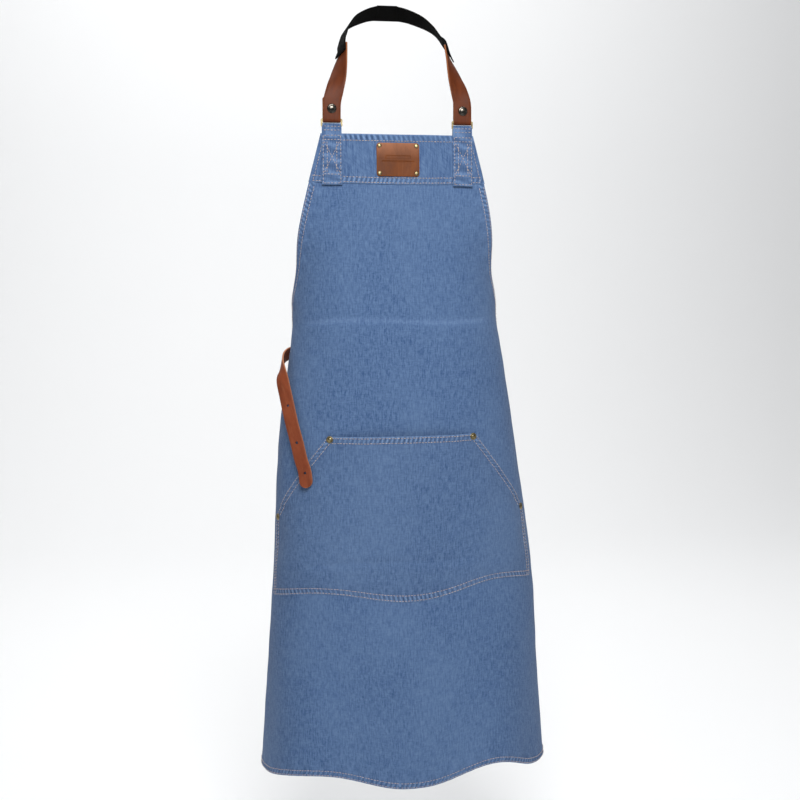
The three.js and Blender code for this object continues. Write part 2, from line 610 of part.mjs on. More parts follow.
for (const [name, side] of [["left", -1], ["right", 1]]) {
  const stud = studCentre(side);
  const onStud = (geometry) => geometry.translate(stud.x, stud.y, stud.z);
  const ringZ = (LOW_BAR_Z + HIGH_BAR_Z) / 2;
  const { face } = waistFrame(side);
  add(`strap_tab_${name}`, strapTab(side), denim);
  add(`neck_ring_${name}`, ringGeometry().translate(side * TAB.s, TAB_Y, ringZ), brass);
  add(`neck_strap_${name}`, cut(neckStrap(side), studHole(side)), leather);
  add(`neck_tail_${name}`, cut(neckTail(side), studHole(side)), leather);
  add(`neck_snap_cap_${name}`, onStud(snapCap()), gunmetal);
  add(`neck_snap_socket_${name}`, onStud(snapSocket()), gunmetal);
  add(`neck_snap_stud_${name}`, onStud(snapStud()), gunmetal);
  add(`waist_tab_${name}`, waistTab(side), denim);
  add(`waist_ring_${name}`, waistRing(side), brass);
  add(`waist_strap_${name}`, side < 0 ? waistStrapLeft() : waistStrapRight(), leather);
  const rivet = capAndPost(4, 1.6, 2 * LEATHER + 3 * GAP + 1);
  add(`waist_rivet_${name}`, facing(rivet, loopRivetAt(side, LOOP_FACE), face), brass);
  add(`waist_burr_${name}`, facing(burr(3.6, 0.8), loopRivetAt(side, -LOOP_FACE - 0.8), face), brass);
}

add("buckle_frame", buckleFrame(), brass);
add("buckle_prong", buckleProng(), brass);
add("strap_keeper", keeper(), leather);
const BUCKLE_AXIS = vec(0, 1, 0);
const buckleRivet = capAndPost(4, 1.6, 2 * LEATHER + 3 * GAP + 1);
add("buckle_rivet", facing(buckleRivet, buckleRivetAt(LOOP_FACE), BUCKLE_AXIS), brass);
add("buckle_burr", facing(burr(3.6, 0.8), buckleRivetAt(-LOOP_FACE - 0.8), BUCKLE_AXIS), brass);

export default apron;
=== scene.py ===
import json
import math

import bpy
import numpy as np
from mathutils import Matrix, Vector
from mathutils.kdtree import KDTree


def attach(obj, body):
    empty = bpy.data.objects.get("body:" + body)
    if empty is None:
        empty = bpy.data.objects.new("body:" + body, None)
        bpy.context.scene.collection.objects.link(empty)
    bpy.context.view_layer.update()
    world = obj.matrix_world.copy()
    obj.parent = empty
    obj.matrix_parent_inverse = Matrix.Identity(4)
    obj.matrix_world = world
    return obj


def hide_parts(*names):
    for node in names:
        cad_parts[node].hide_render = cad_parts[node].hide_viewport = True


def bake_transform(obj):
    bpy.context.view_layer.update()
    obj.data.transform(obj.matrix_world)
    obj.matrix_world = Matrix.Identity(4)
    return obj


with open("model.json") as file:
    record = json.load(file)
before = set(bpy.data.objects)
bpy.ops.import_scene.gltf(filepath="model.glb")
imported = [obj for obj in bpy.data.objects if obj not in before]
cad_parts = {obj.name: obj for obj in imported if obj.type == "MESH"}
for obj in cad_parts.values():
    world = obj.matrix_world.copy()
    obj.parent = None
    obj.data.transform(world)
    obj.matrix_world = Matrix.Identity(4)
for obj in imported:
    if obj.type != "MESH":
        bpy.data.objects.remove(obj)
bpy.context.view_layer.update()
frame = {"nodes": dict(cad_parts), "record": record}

MM = 0.001

# ---- The cloth's surface: s across it, + to the right, and v down from the bib's top, in millimetres ----
LENGTH = 900.0
BIB_HALF, BIB_FLARE = 104.0, 0.255
BAND_DROP = 67.0
CORNER_DROP, CORNER_HALF, HEM_HALF = 300.0, 325.0, 345.0
BIB_TOP_Z, FRONT_Y = -186.0, -140.0
DENIM, FACING, LEATHER, WEBBING = 1.6, 1.2, 2.4, 1.8
GAP = 0.3


def smooth_through(points):
    xs = np.array([p[0] for p in points], float)
    ys = np.array([p[1] for p in points], float)
    before = np.maximum(np.arange(len(xs)) - 1, 0)
    after = np.minimum(np.arange(len(xs)) + 1, len(xs) - 1)
    slopes = (ys[after] - ys[before]) / (xs[after] - xs[before])

    def value(x):
        x = np.asarray(x, float)
        i = np.clip(np.searchsorted(xs, x, side="left") - 1, 0, len(xs) - 2)
        h = xs[i + 1] - xs[i]
        t = np.clip((x - xs[i]) / h, 0, 1)
        start = (2 * t**3 - 3 * t**2 + 1) * ys[i] + (t**3 - 2 * t**2 + t) * h * slopes[i]
        return start + (3 * t**2 - 2 * t**3) * ys[i + 1] + (t**3 - t**2) * h * slopes[i + 1]

    return value


# At each drop down the cloth: how far across it turns to the side, and how far back its middle leans.
reach = smooth_through([
    (0, 640), (67, 400), (150, 205), (230, 184), (310, 196), (410, 217), (600, 241), (900, 268),
])
lean = smooth_through([(0, 25), (150, 14), (300, 4), (420, 0), (900, 0)])


def smoothstep(x, low, high):
    t = np.clip((np.asarray(x, float) - low) / (high - low), 0, 1)
    return t * t * (3 - 2 * t)


form_shift = smooth_through([(0, 2), (120, 0), (225, 4.5), (290, 7.5), (420, 9.5), (640, 20), (900, 20)])


def turn(t, q):
    first = (np.pi / 2) * (t / q) ** 2
    rest = np.pi / 2 + (np.pi / 2) * (1 - np.exp(-2 * (t - q) / q))
    return np.where(t <= q, first, rest)


def half_width(v):
    v = np.asarray(v, float)
    bib = BIB_HALF + BIB_FLARE * v
    t = np.clip((v - BAND_DROP) / (CORNER_DROP - BAND_DROP), 0, 1)
    armhole = CORNER_HALF - BIB_HALF - BIB_FLARE * CORNER_DROP
    upper = bib + armhole * (1 - np.cbrt(1 - t**3))
    lower = CORNER_HALF + (HEM_HALF - CORNER_HALF) * (v - CORNER_DROP) / (LENGTH - CORNER_DROP)
    return np.where(v > CORNER_DROP, lower, upper)


def rise(s, v):
    depth = (np.maximum(0, np.asarray(v, float) - 406) / 494) ** 1.2
    arch = np.sin(np.pi * np.minimum(np.abs(np.asarray(s, float) - 12), 250) / 250)
    return depth * np.where(np.asarray(s) > 12, 26 * arch**3, 18.5 * arch**2)


# Sections of the cloth, summed once: how far each distance t along it has gone sideways and back.
ROW = 4.0
DROPS = np.arange(0, LENGTH + 1, ROW)
STEPS = np.arange(0, 361, 1.0)
angles = turn((STEPS[None, :-1] + 0.5), reach(DROPS)[:, None])
START = np.zeros((len(DROPS), 1))
SIDEWAYS = np.concatenate([START, np.cumsum(np.cos(angles), axis=1)], axis=1)
BACK = np.concatenate([START, np.cumsum(np.sin(angles), axis=1)], axis=1)


def between(table, v, t):
    i = np.clip(v / ROW, 0, len(DROPS) - 1.001)
    j = np.clip(t, 0, len(STEPS) - 1.001)
    i0, j0 = i.astype(int), j.astype(int)
    fi, fj = i - i0, j - j0
    top = table[i0, j0] * (1 - fj) + table[i0, j0 + 1] * fj
    low = table[i0 + 1, j0] * (1 - fj) + table[i0 + 1, j0 + 1] * fj
    return top * (1 - fi) + low * fi


def on_cloth(s, v, off=0.0):
    """Points of the cloth, raised off its outer face by off."""
    s, v, off = np.broadcast_arrays(np.asarray(s, float), np.asarray(v, float), np.asarray(off, float))
    middle = form_shift(v)
    side = np.where(s >= middle, 1.0, -1.0)
    t = np.abs(s - middle)
    angle = turn(t, reach(v))
    x = middle + side * (between(SIDEWAYS, v, t) + off * np.sin(angle))
    y = FRONT_Y + lean(v) + between(BACK, v, t) - off * np.cos(angle)
    return np.stack([x, y, BIB_TOP_Z - v + rise(s, v)], axis=-1)


def cloth_frame(s, v, off=0.0):
    """(point, outward, right, up) of the cloth at one place."""
    here = on_cloth(s, v)
    right = unit(on_cloth(s + 1, v) - here)
    down = on_cloth(s, v + 1) - here
    up = -unit(down - right * np.dot(down, right))
    out = np.cross(right, up)
    return here + out * off, out, right, up


def unit(a):
    a = np.asarray(a, float)
    return a / np.linalg.norm(a, axis=-1, keepdims=True)


def run_lengths(points):
    """How far along a run of points each one lies."""
    return np.concatenate([[0], np.cumsum(np.linalg.norm(np.diff(points, axis=0), axis=1))])


# ---- Soft relief shared by the panel and what is sewn on it ----
def sines(count, shortest, longest, seed):
    r = np.random.default_rng(seed)
    length = r.uniform(shortest, longest, count)
    angle = r.uniform(0, np.pi, count)
    phase = r.uniform(0, 2 * np.pi, count)
    size = length / length.sum() * count

    def value(s, v, stretch=1.0):
        s, v = np.asarray(s, float), np.asarray(v, float)
        total = np.zeros(np.broadcast(s, v).shape)
        for k in range(count):
            along = (s * np.cos(angle[k]) + v / stretch * np.sin(angle[k])) * 2 * np.pi / length[k]
            total += size[k] * np.sin(along + phase[k])
        return total / math.sqrt(count)

    return value


broad = sines(14, 90, 260, 3)
small = sines(22, 26, 70, 5)


def waist_crease(s, v):
    line = 253 - 0.012 * s + 2 * np.sin(s / 40.0)
    return np.exp(-(((v - line) / 3.2) ** 2)) * (1 - smoothstep(np.abs(s), 118, 150))


def drape(s, v):
    """Large soft folds: nearly flat on the bib, upright folds in the skirt, a faint crease at the waist."""
    skirt = smoothstep(v, 640, 880)
    waves = 2.6 * np.sin((s + 30) / 23.0) + 1.8 * np.sin((s - 55) / 37.0 + 0.8)
    return 0.8 * broad(s, v, 1.6) + skirt * waves - 0.9 * waist_crease(s, v) + 0.2 * small(s, v)


# ---- Meshes ----
def build(name, points, faces, material, uv=None, wear_and_shade=None, indices=None, smooth=True):
    mesh = bpy.data.meshes.new(name)
    mesh.from_pydata((np.asarray(points, float) * MM).tolist(), [], [tuple(map(int, f)) for f in faces])
    for m in material if isinstance(material, (list, tuple)) else [material]:
        mesh.materials.append(m)
    if uv is not None:
        layer = mesh.uv_layers.new(name="UVMap")
        loops = np.empty(len(mesh.loops), int)
        mesh.loops.foreach_get("vertex_index", loops)
        layer.data.foreach_set("uv", (np.asarray(uv, float)[loops] * MM).ravel())
    if wear_and_shade is not None:
        mesh.attributes.new("wear_and_shade", "FLOAT", "POINT").data.foreach_set("value", np.asarray(wear_and_shade, float))
    if indices is not None:
        mesh.polygons.foreach_set("material_index", np.asarray(indices, np.int32))
    mesh.polygons.foreach_set("use_smooth", np.full(len(mesh.polygons), smooth))
    mesh.update()
    made = bpy.data.objects.new(name, mesh)
    bpy.context.scene.collection.objects.link(made)
    return made


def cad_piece(piece, body, slot, *nodes):
    if nodes:
        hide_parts(*nodes)
    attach(piece, body)
    return piece


def grid_faces(rows, columns, start=0, flip=False):
    i = np.arange(rows - 1)[:, None] * columns + np.arange(columns - 1)[None, :] + start
    quads = np.stack([i, i + columns, i + columns + 1, i + 1], axis=-1).reshape(-1, 4)
    return quads[:, ::-1] if flip else quads


def shell(name, outer, inner, material, uv, wear_and_shade, inside=None):
    """A closed sheet from two grids of points (rows, columns, 3), outer face and inner face."""
    rows, columns = outer.shape[:2]
    count = rows * columns
    points = np.concatenate([outer.reshape(-1, 3), inner.reshape(-1, 3)])
    index = np.arange(count).reshape(rows, columns)
    ring = np.concatenate([index[0, :], index[1:, -1], index[-1, -2::-1], index[-2:0:-1, 0]])
    after = np.roll(ring, -1)
    rim = np.stack([ring, after, after + count, ring + count], axis=-1)
    faces = np.concatenate([grid_faces(rows, columns), grid_faces(rows, columns, count, True), rim])
    slots = None
    materials = [material]
    if inside is not None:
        materials = [material, inside]
        slots = np.zeros(len(faces), int)
        slots[(rows - 1) * (columns - 1) : 2 * (rows - 1) * (columns - 1)] = 1
    uv = np.concatenate([uv.reshape(-1, 2), uv.reshape(-1, 2)])
    wear_and_shade = np.concatenate([wear_and_shade.ravel(), wear_and_shade.ravel() * 0.6])
    return build(name, points, faces, materials, uv, wear_and_shade, slots)


def stitches(name, runs, material, seed, length=3.1, gap=1.0, radius=0.42):
    """Thread stitches along runs of (points, outward normals): each a low arch that dips in at its ends."""
    r = np.random.default_rng(seed)
    stations = np.array([-0.5, -0.3, 0.0, 0.3, 0.5])
    heights = np.array([-0.35, 0.16, 0.3, 0.16, -0.35])
    widths = np.array([0.55, 1.0, 1.08, 1.0, 0.55])
    sides = 6
    around = np.arange(sides) * 2 * np.pi / sides
    per_stitch = sides * len(stations)
    points, faces = [], []
    for path, outs in runs:
        along = run_lengths(path)
        count = max(1, int(along[-1] / (length + gap)))
        centres = (np.arange(count) + 0.5) * along[-1] / count + r.uniform(-0.25, 0.25, count)
        lengths = length * r.uniform(0.9, 1.08, count)
        at = lambda d, table: np.stack([np.interp(d, along, table[:, k]) for k in range(3)], axis=-1)
        spots = centres[:, None] + stations[None, :] * lengths[:, None]
        middle = at(spots, path)
        out = unit(at(spots, outs))
        run = unit(at(spots + 0.5, path) - at(spots - 0.5, path))
        wide = unit(np.cross(run, out))
        middle = middle + out * (heights[None, :, None] + 0.1) + wide * r.uniform(-0.18, 0.18, (count, 1, 1))
        size = radius * widths[None, :, None, None]
        ring = (
            middle[:, :, None, :]
            + wide[:, :, None, :] * np.cos(around)[None, None, :, None] * size
            + out[:, :, None, :] * np.sin(around)[None, None, :, None] * size * 0.8
        )
        base = sum(len(p) for p in points)
        points.append(ring.reshape(-1, 3))
        bands = np.arange(len(stations) - 1)[None, :, None] * sides
        k = np.arange(count)[:, None, None] * per_stitch + bands
        j = np.arange(sides)[None, None, :]
        after = (j + 1) % sides
        quads = np.stack([k + j, k + after, k + sides + after, k + sides + j], axis=-1).reshape(-1, 4)
        faces.extend((quads + base).tolist())
        for end, order in ((0, np.arange(sides)[::-1]), (per_stitch - sides, np.arange(sides))):
            caps = np.arange(count)[:, None] * per_stitch + end + order[None, :]
            faces.extend((caps + base).tolist())
    points = np.concatenate(points)
    return build(name, points, faces, material)


def sewn(name, runs, seed):
    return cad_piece(stitches(name, runs, THREAD, seed), "apron", "denim")


def cloth_run(s, v, off):
    """A run of stitches along (s, v) on the cloth, with outward normals."""
    s, v = np.asarray(s, float), np.asarray(v, float)
    off = np.broadcast_to(np.asarray(off, float), s.shape)
    return on_cloth(s, v, off), unit(on_cloth(s, v, off + 1) - on_cloth(s, v, off))


# ---- Materials ----
def put(socket, value):
    if isinstance(value, bpy.types.NodeSocket):
        socket.id_data.links.new(value, socket)
    elif isinstance(value, tuple) and socket.type == "RGBA":
        socket.default_value = (*value, 1.0)
    else:
        socket.default_value = value


def shader_node(tree, kind, **inputs):
    """A new shader node with its inputs given by name."""
    node = tree.nodes.new("ShaderNode" + kind)
    for name, value in inputs.items():
        put(node.inputs[name.replace("_", " ")], value)
    return node


def nodes_of(name):
    material = bpy.data.materials.new(name)
    material.use_nodes = True
    tree = material.node_tree
    tree.nodes.clear()
    out = tree.nodes.new("ShaderNodeOutputMaterial")
    shader = tree.nodes.new("ShaderNodeBsdfPrincipled")
    put(out.inputs["Surface"], shader.outputs["BSDF"])
    return material, tree, shader


def finished(shader, **inputs):
    for name, value in inputs.items():
        put(shader.inputs[name.replace("_", " ")], value)


def math_node(tree, operation, a, b):
    node = tree.nodes.new("ShaderNodeMath")
    node.operation = operation
    put(node.inputs[0], a)
    put(node.inputs[1], b)
    return node.outputs[0]


def mix(tree, factor, a, b):
    node = tree.nodes.new("ShaderNodeMix")
    node.data_type = "RGBA"
    for key, value in ((0, factor), (6, a), (7, b)):
        put(node.inputs[key], value)
    return node.outputs[2]


def scaled(tree, source, scale, rotation=0.0):
    return shader_node(tree, "Mapping", Scale=scale, Rotation=(0, 0, rotation), Vector=source).outputs[0]


def noise(tree, vector, scale=1.0, detail=2.0, roughness=0.5):
    node = shader_node(tree, "TexNoise", Scale=scale, Detail=detail, Roughness=roughness, Vector=vector)
    return node.outputs["Fac"]


def ramp(tree, source, *stops):
    node = shader_node(tree, "ValToRGB", Fac=source)
    elements = node.color_ramp.elements
    while len(elements) < len(stops):
        elements.new(0.5)
    for element, (place, value) in zip(elements, stops):
        element.position = place
        element.color = (value, value, value, 1)
    return node.outputs["Color"]


def washed(tree, base, over, source, low, high, amount=1.0):
    """The base colour with another laid over it where the source rises from low to high."""
    share = ramp(tree, source, (low, 0.0), (high, 1.0))
    return mix(tree, math_node(tree, "MULTIPLY", share, amount), base, over)


def map_to(tree, source, low, high):
    return shader_node(tree, "MapRange", To_Min=low, To_Max=high, Value=source).outputs[0]


def coordinates(tree, kind):
    return tree.nodes.new("ShaderNodeTexCoord").outputs[kind]


def wear_and_shade_of(tree):
    """Wear and painted shade at each point: paler above 0 (wear on raised ridges and edges), darker below 0
    (painted shade in the troughs of puckers).
    """
    node = tree.nodes.new("ShaderNodeAttribute")
    node.attribute_name = "wear_and_shade"
    return node.outputs["Fac"]


def bump(tree, height, strength, distance, before=None):
    node = shader_node(tree, "Bump", Strength=strength, Distance=distance, Height=height)
    if before is not None:
        put(node.inputs["Normal"], before)
    return node.outputs["Normal"]


def srgb(r, g, b):
    return tuple(((c / 255 + 0.055) / 1.055) ** 2.4 if c > 10 else c / 255 / 12.92 for c in (r, g, b))


def denim(name, colour, pale, dark):
    material, tree, shader = nodes_of(name)
    uv = coordinates(tree, "UV")
    slub = noise(tree, scaled(tree, uv, (620, 70, 1)), 1.0, 4.0, 0.7)
    weft = noise(tree, scaled(tree, uv, (110, 640, 1)), 1.0, 3.0, 0.6)
    mottle = noise(tree, scaled(tree, uv, (300, 210, 1)), 1.0, 4.0, 0.75)
    fade = noise(tree, scaled(tree, uv, (9, 5, 1)), 1.0, 3.0, 0.55)
    slant = scaled(tree, uv, (330, 330, 1), math.radians(28))
    twill = shader_node(tree, "TexWave", Scale=1.0, Distortion=1.2, Detail=1.0, Vector=slant).outputs["Fac"]
    base = washed(tree, dark, pale, slub, 0.38, 0.62)
    base = mix(tree, 0.3, base, colour)
    base = washed(tree, base, pale, mottle, 0.46, 0.62, 0.55)
    base = washed(tree, base, dark, weft, 0.48, 0.66, 0.4)
    base = washed(tree, base, pale, fade, 0.42, 0.62, 0.28)
    base = mix(tree, math_node(tree, "MULTIPLY", twill, 0.1), base, dark)
    # Where the surface rises on seam puckers and at edges the colour goes paler (wear); where it sinks
    # between puckers it goes darker (painted shade).
    patchy = math_node(tree, "MULTIPLY", wear_and_shade_of(tree), ramp(tree, mottle, (0.25, 0.4), (0.65, 1.0)))
    whiter = tuple(min(1.0, c * 1.45 + 0.03) for c in pale)
    darker = tuple(c * 0.42 for c in dark)
    lifted = mix(tree, math_node(tree, "MAXIMUM", patchy, 0.0), base, whiter)
    painted_trough_shade = math_node(tree, "MAXIMUM", math_node(tree, "MULTIPLY", patchy, -0.9), 0.0)
    threads = bump(tree, slub, 0.3, 0.0003, bump(tree, mottle, 0.25, 0.0006))
    finished(shader, Base_Color=mix(tree, painted_trough_shade, lifted, darker), Roughness=0.92, Specular_IOR_Level=0.12,
             Sheen_Weight=0.06, Sheen_Roughness=0.5, Normal=bump(tree, twill, 0.35, 0.00025, threads))
    return material


def leather(name, colour, dark, light, top=None):
    material, tree, shader = nodes_of(name)
    uv = coordinates(tree, "UV")
    cloud = noise(tree, scaled(tree, uv, (70, 28, 1)), 1.0, 5.0, 0.6)
    grain = noise(tree, scaled(tree, uv, (1300, 1000, 1)), 1.0, 3.0, 0.6)
    pores = shader_node(tree, "TexVoronoi", Scale=1.0, Vector=scaled(tree, uv, (900, 700, 1)))
    scuff = noise(tree, scaled(tree, uv, (240, 26, 1)), 1.0, 3.0, 0.7)
    base = washed(tree, dark, colour, cloud, 0.32, 0.7)
    base = washed(tree, base, light, scuff, 0.55, 0.8, 0.3)
    base = mix(tree, wear_and_shade_of(tree), base, light)
    # Painted highlight: the upper part of the piece is blended in patches towards a lighter colour, as if
    # catching the light.
    if top is not None:
        place = tree.nodes.new("ShaderNodeSeparateXYZ")
        put(place.inputs[0], uv)
        high = shader_node(tree, "MapRange", From_Min=0.002, From_Max=0.024, Value=place.outputs["Y"])
        patchy = ramp(tree, cloud, (0.3, 0.55), (0.6, 1.0))
        base = mix(tree, math_node(tree, "MULTIPLY", high.outputs[0], patchy), base, top)
    grained = bump(tree, pores.outputs["Distance"], 0.25, 0.0002, bump(tree, grain, 0.3, 0.0002))
    finished(shader, Base_Color=base, Roughness=map_to(tree, cloud, 0.42, 0.62), Specular_IOR_Level=0.2,
             Normal=grained)
    return material


def webbing(name):
    material, tree, shader = nodes_of(name)
    uv = coordinates(tree, "UV")
    rib = shader_node(tree, "TexWave", Scale=1.0, Distortion=0.3, Vector=scaled(tree, uv, (300, 300, 1)))
    rib.bands_direction = "Y"
    fuzz = noise(tree, scaled(tree, uv, (500, 900, 1)), 1.0, 3.0, 0.6)
    black = mix(tree, fuzz, (0.0012, 0.0012, 0.0011), (0.0045, 0.0043, 0.004))
    woven = bump(tree, rib.outputs["Fac"], 0.6, 0.0005, bump(tree, fuzz, 0.4, 0.0003))
    finished(shader, Base_Color=black, Roughness=0.95, Specular_IOR_Level=0.08, Normal=woven)
    return material


def metal(name, colour, dark, low, high):
    material, tree, shader = nodes_of(name)
    where = coordinates(tree, "Object")
    tarnish = noise(tree, where, 320, 4.0, 0.6)
    scratched = bump(tree, noise(tree, where, 1500), 0.15, 0.0001)
    finished(shader, Base_Color=washed(tree, dark, colour, tarnish, 0.36, 0.66), Metallic=1.0,
             Roughness=map_to(tree, tarnish, low, high), Normal=scratched)
    return material


def thread(name, colour, dark):
    material, tree, shader = nodes_of(name)
    where = coordinates(tree, "Object")
    shade = washed(tree, dark, colour, noise(tree, where, 420), 0.35, 0.65)
    twisted = bump(tree, noise(tree, where, 3000), 0.3, 0.0001)
    finished(shader, Base_Color=shade, Roughness=0.8, Normal=twisted)
    return material


DENIM_BLUE = denim("denim_face", srgb(75, 101, 140), srgb(103, 129, 165), srgb(50, 76, 119))
POCKET_BLUE = denim("denim_pocket", srgb(76, 101, 139), srgb(103, 128, 163), srgb(51, 76, 117))
DENIM_BACK = denim("denim_inside", srgb(138, 150, 168), srgb(165, 175, 188), srgb(104, 122, 150))
THREAD = thread("thread_pale", srgb(196, 182, 178), srgb(150, 140, 144))
STRAP_LEATHER = leather("leather_strap", srgb(106, 48, 15), srgb(79, 34, 11), srgb(142, 86, 50))
WAIST_LEATHER = leather("leather_waist", srgb(138, 70, 42), srgb(110, 52, 30), srgb(170, 112, 78))
# Painted highlight colour for the upper part of the leather label.
PATCH_PAINTED_HIGHLIGHT = srgb(156, 101, 71)
PATCH_LEATHER = leather("leather_patch", srgb(114, 58, 13), srgb(86, 42, 11), srgb(148, 90, 48), PATCH_PAINTED_HIGHLIGHT)
BLACK_TAPE = webbing("black_tape")
BRASS = metal("antique_brass", (0.36, 0.29, 0.15), (0.16, 0.13, 0.07), 0.3, 0.5)
GUNMETAL = metal("gunmetal", (0.14, 0.125, 0.105), (0.05, 0.045, 0.04), 0.16, 0.3)


# ---- Apron panel ----
HEM = 9.5
CORNER_ROUND = {-1: 12.0, 1: 22.0}
EDGE_STEPS = np.array([0, 0.5, 1.3, 2.6, 4.2, 5.8, 7.4, 8.8, 9.8, 11.2, 14.0])


def panel_half(v, side=1):
    radius = CORNER_ROUND[side]
    into = np.clip(v - (LENGTH - radius), 0, radius)
    return half_width(v) - (radius - np.sqrt(radius**2 - into**2))


def outline(corner, step=1.0):
    """Half of the cut, from the middle of the top edge round to the middle of the hem, as (s, v)."""
    top = [(s, 0.0) for s in np.arange(0, BIB_HALF, step)]
    fine = np.concatenate([np.arange(0, 290, step), CORNER_DROP - 10 * (1 - np.linspace(0, 1, 90)) ** 2.2])
    armhole = [(float(half_width(v)), float(v)) for v in fine]
    radius = CORNER_ROUND[corner]
    side = [(float(half_width(v)), float(v)) for v in np.arange(CORNER_DROP + 0.5, LENGTH - radius, step)]
    turns = np.linspace(0, np.pi / 2, 24)
    middle = (float(half_width(LENGTH - radius)) - radius, LENGTH - radius)
    round_off = [(middle[0] + radius * math.cos(a), middle[1] + radius * math.sin(a)) for a in turns]
    hem = [(x, LENGTH) for x in np.arange(middle[0] - step, 0, -step)]
    return np.array(top + armhole + side + round_off + hem)


def measured(cut):
    along = run_lengths(cut)
    tree = KDTree(len(cut))
    for k, (s, v) in enumerate(cut):
        tree.insert((s, v, 0), k)
    tree.balance()
    return cut, along, tree


CUTS = {side: measured(outline(side)) for side in (-1, 1)}


def edge_distance(s, v):
    """(distance from the cut's edge, place along the edge) for arrays of cloth points."""
    distance, along = [], []
    for a, b in zip(np.ravel(s), np.ravel(v)):
        side = 1 if a > 0 else -1
        _, spots, tree = CUTS[side]
        _, index, far = tree.find((abs(a), b, 0))
        distance.append(far)
        along.append(side * spots[index])
    return np.reshape(distance, np.shape(s)), np.reshape(along, np.shape(s))


def roping(along, edge, width=10.0, period=6.4):
    """Puckers between a seam's two rows of stitches: bars across it, (height, paleness from -1 to 1): paler
    on the raised bars as wear, darker between them as painted shade.
    """
    bars = np.sin(2 * np.pi * along / period + 1.5 * np.sin(along / 37.0) + 0.9 * np.sin(along / 13.0))
    window = np.sin(np.pi * np.clip(edge / width, 0, 1)) ** 0.7
    uneven = 0.7 + 0.3 * np.sin(along / 29.0 + 2)
    return 0.3 * bars * window * uneven, 0.85 * bars * window * uneven


def hem_relief(distance, along):
    """The folded hem stands proud, pulled into small bars between its two rows of stitches; its paleness is
    wear on the raised bars and painted shade in the hollows between them.
    """
    fold = 0.55 * (1 - smoothstep(distance, HEM - 0.6, HEM + 1.2)) * smoothstep(distance, -0.1, 1.4)
    ropes, pale = roping(along + 0.5 * distance, distance)
    beside = np.exp(-(((distance - HEM - 4) / 5.0) ** 2))
    pull = 0.45 * np.sin(along / 4.1 + 1.3 * np.sin(along / 37.0)) * beside
    return fold + ropes + pull, pale + 0.25 * pull


def panel_height(s, v, distance, along):
    high, ridge = hem_relief(distance, along)
    return drape(s, v) + high, ridge


def rows_of_panel():
    upper = np.arange(16, 288, 2.4)
    corner = CORNER_DROP - 12 * (1 - np.linspace(0, 1, 12)) ** 2
    lower = np.arange(CORNER_DROP + 3, LENGTH - 15, 2.2)
    return np.concatenate([EDGE_STEPS, upper, corner, lower, LENGTH - EDGE_STEPS[::-1]])


def cloth_grid(v_rows, left, right, interior):
    """Grid of cloth points: rows at v_rows, columns from -left to right, closer together at the edges."""
    v = v_rows[:, None] * np.ones(2 * len(EDGE_STEPS) + interior)[None, :]
    first, last = EDGE_STEPS[-1] - left[:, None], right[:, None] - EDGE_STEPS[-1]
    u = np.linspace(0, 1, interior + 2)[1:-1][None, :]
    low, high = EDGE_STEPS[None, :] - left[:, None], right[:, None] - EDGE_STEPS[None, ::-1]
    return np.concatenate([low, first + (last - first) * u, high], axis=1), v


def apron_panel():
    rows = rows_of_panel()
    s, v = cloth_grid(rows, panel_half(rows, -1), panel_half(rows, 1), 290)
    distance, along = edge_distance(s, v)
    height, ridge = panel_height(s, v, distance, along)
    thin = 1 - 0.75 * (1 - smoothstep(distance, 0, 1.0))
    creased = 0.3 * waist_crease(s, v + 2)
    wear_and_shade = np.clip(ridge + creased + 0.5 * np.exp(-((distance / 1.0) ** 2)), -1, 1)
    outer = on_cloth(s, v, height - 0.35 * (1 - thin))
    inner = on_cloth(s, v, height - 1.5 * thin - 0.5 * (distance < HEM))
    panel = shell("cloth_panel", outer, inner, DENIM_BLUE, np.stack([s, -v], axis=-1), wear_and_shade, DENIM_BACK)
    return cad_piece(panel, "apron", "denim", "apron_panel")


def inset_of_cut(side, distance, low):
    """One side's cut moved inwards, from low (mm along it) to the middle of the hem."""
    cut, along, tree = CUTS[side]
    tangent = np.gradient(cut, axis=0)
    normal = unit(np.stack([-tangent[:, 1], tangent[:, 0]], axis=-1))
    moved = (cut + normal * distance)[along >= low]
    near = np.array([tree.find((max(a, 0), b, 0))[2] for a, b in moved])
    return moved[near > distance - 0.4]


def run_on_panel(s, v, lift=0.35):
    distance, along = edge_distance(s, v)
    height, _ = panel_height(s, v, distance, along)
    return cloth_run(s, v, height + lift)


def resampled(points, step=1.5):
    along = run_lengths(points)
    spots = np.arange(0, along[-1], step)
    return np.stack([np.interp(spots, along, points[:, k]) for k in range(points.shape[1])], axis=-1)


def panel_stitches():
    armhole_start = BIB_HALF + 69
    runs = []
    for side in (-1, 1):
        for inset in (2.2, 8.4):
            path = resampled(inset_of_cut(side, inset, armhole_start))
            if side > 0:
                path = path[::-1]
            runs.append(run_on_panel(side * path[:, 0], path[:, 1], 0.3))
    return sewn("stitches_hem", runs, 2)


# ---- Band across the bib's top ----
BAND_OFF = 0.5


def band_low(s):
    return 64.0 + 2.6 * np.cos(np.pi * s / 236.0)


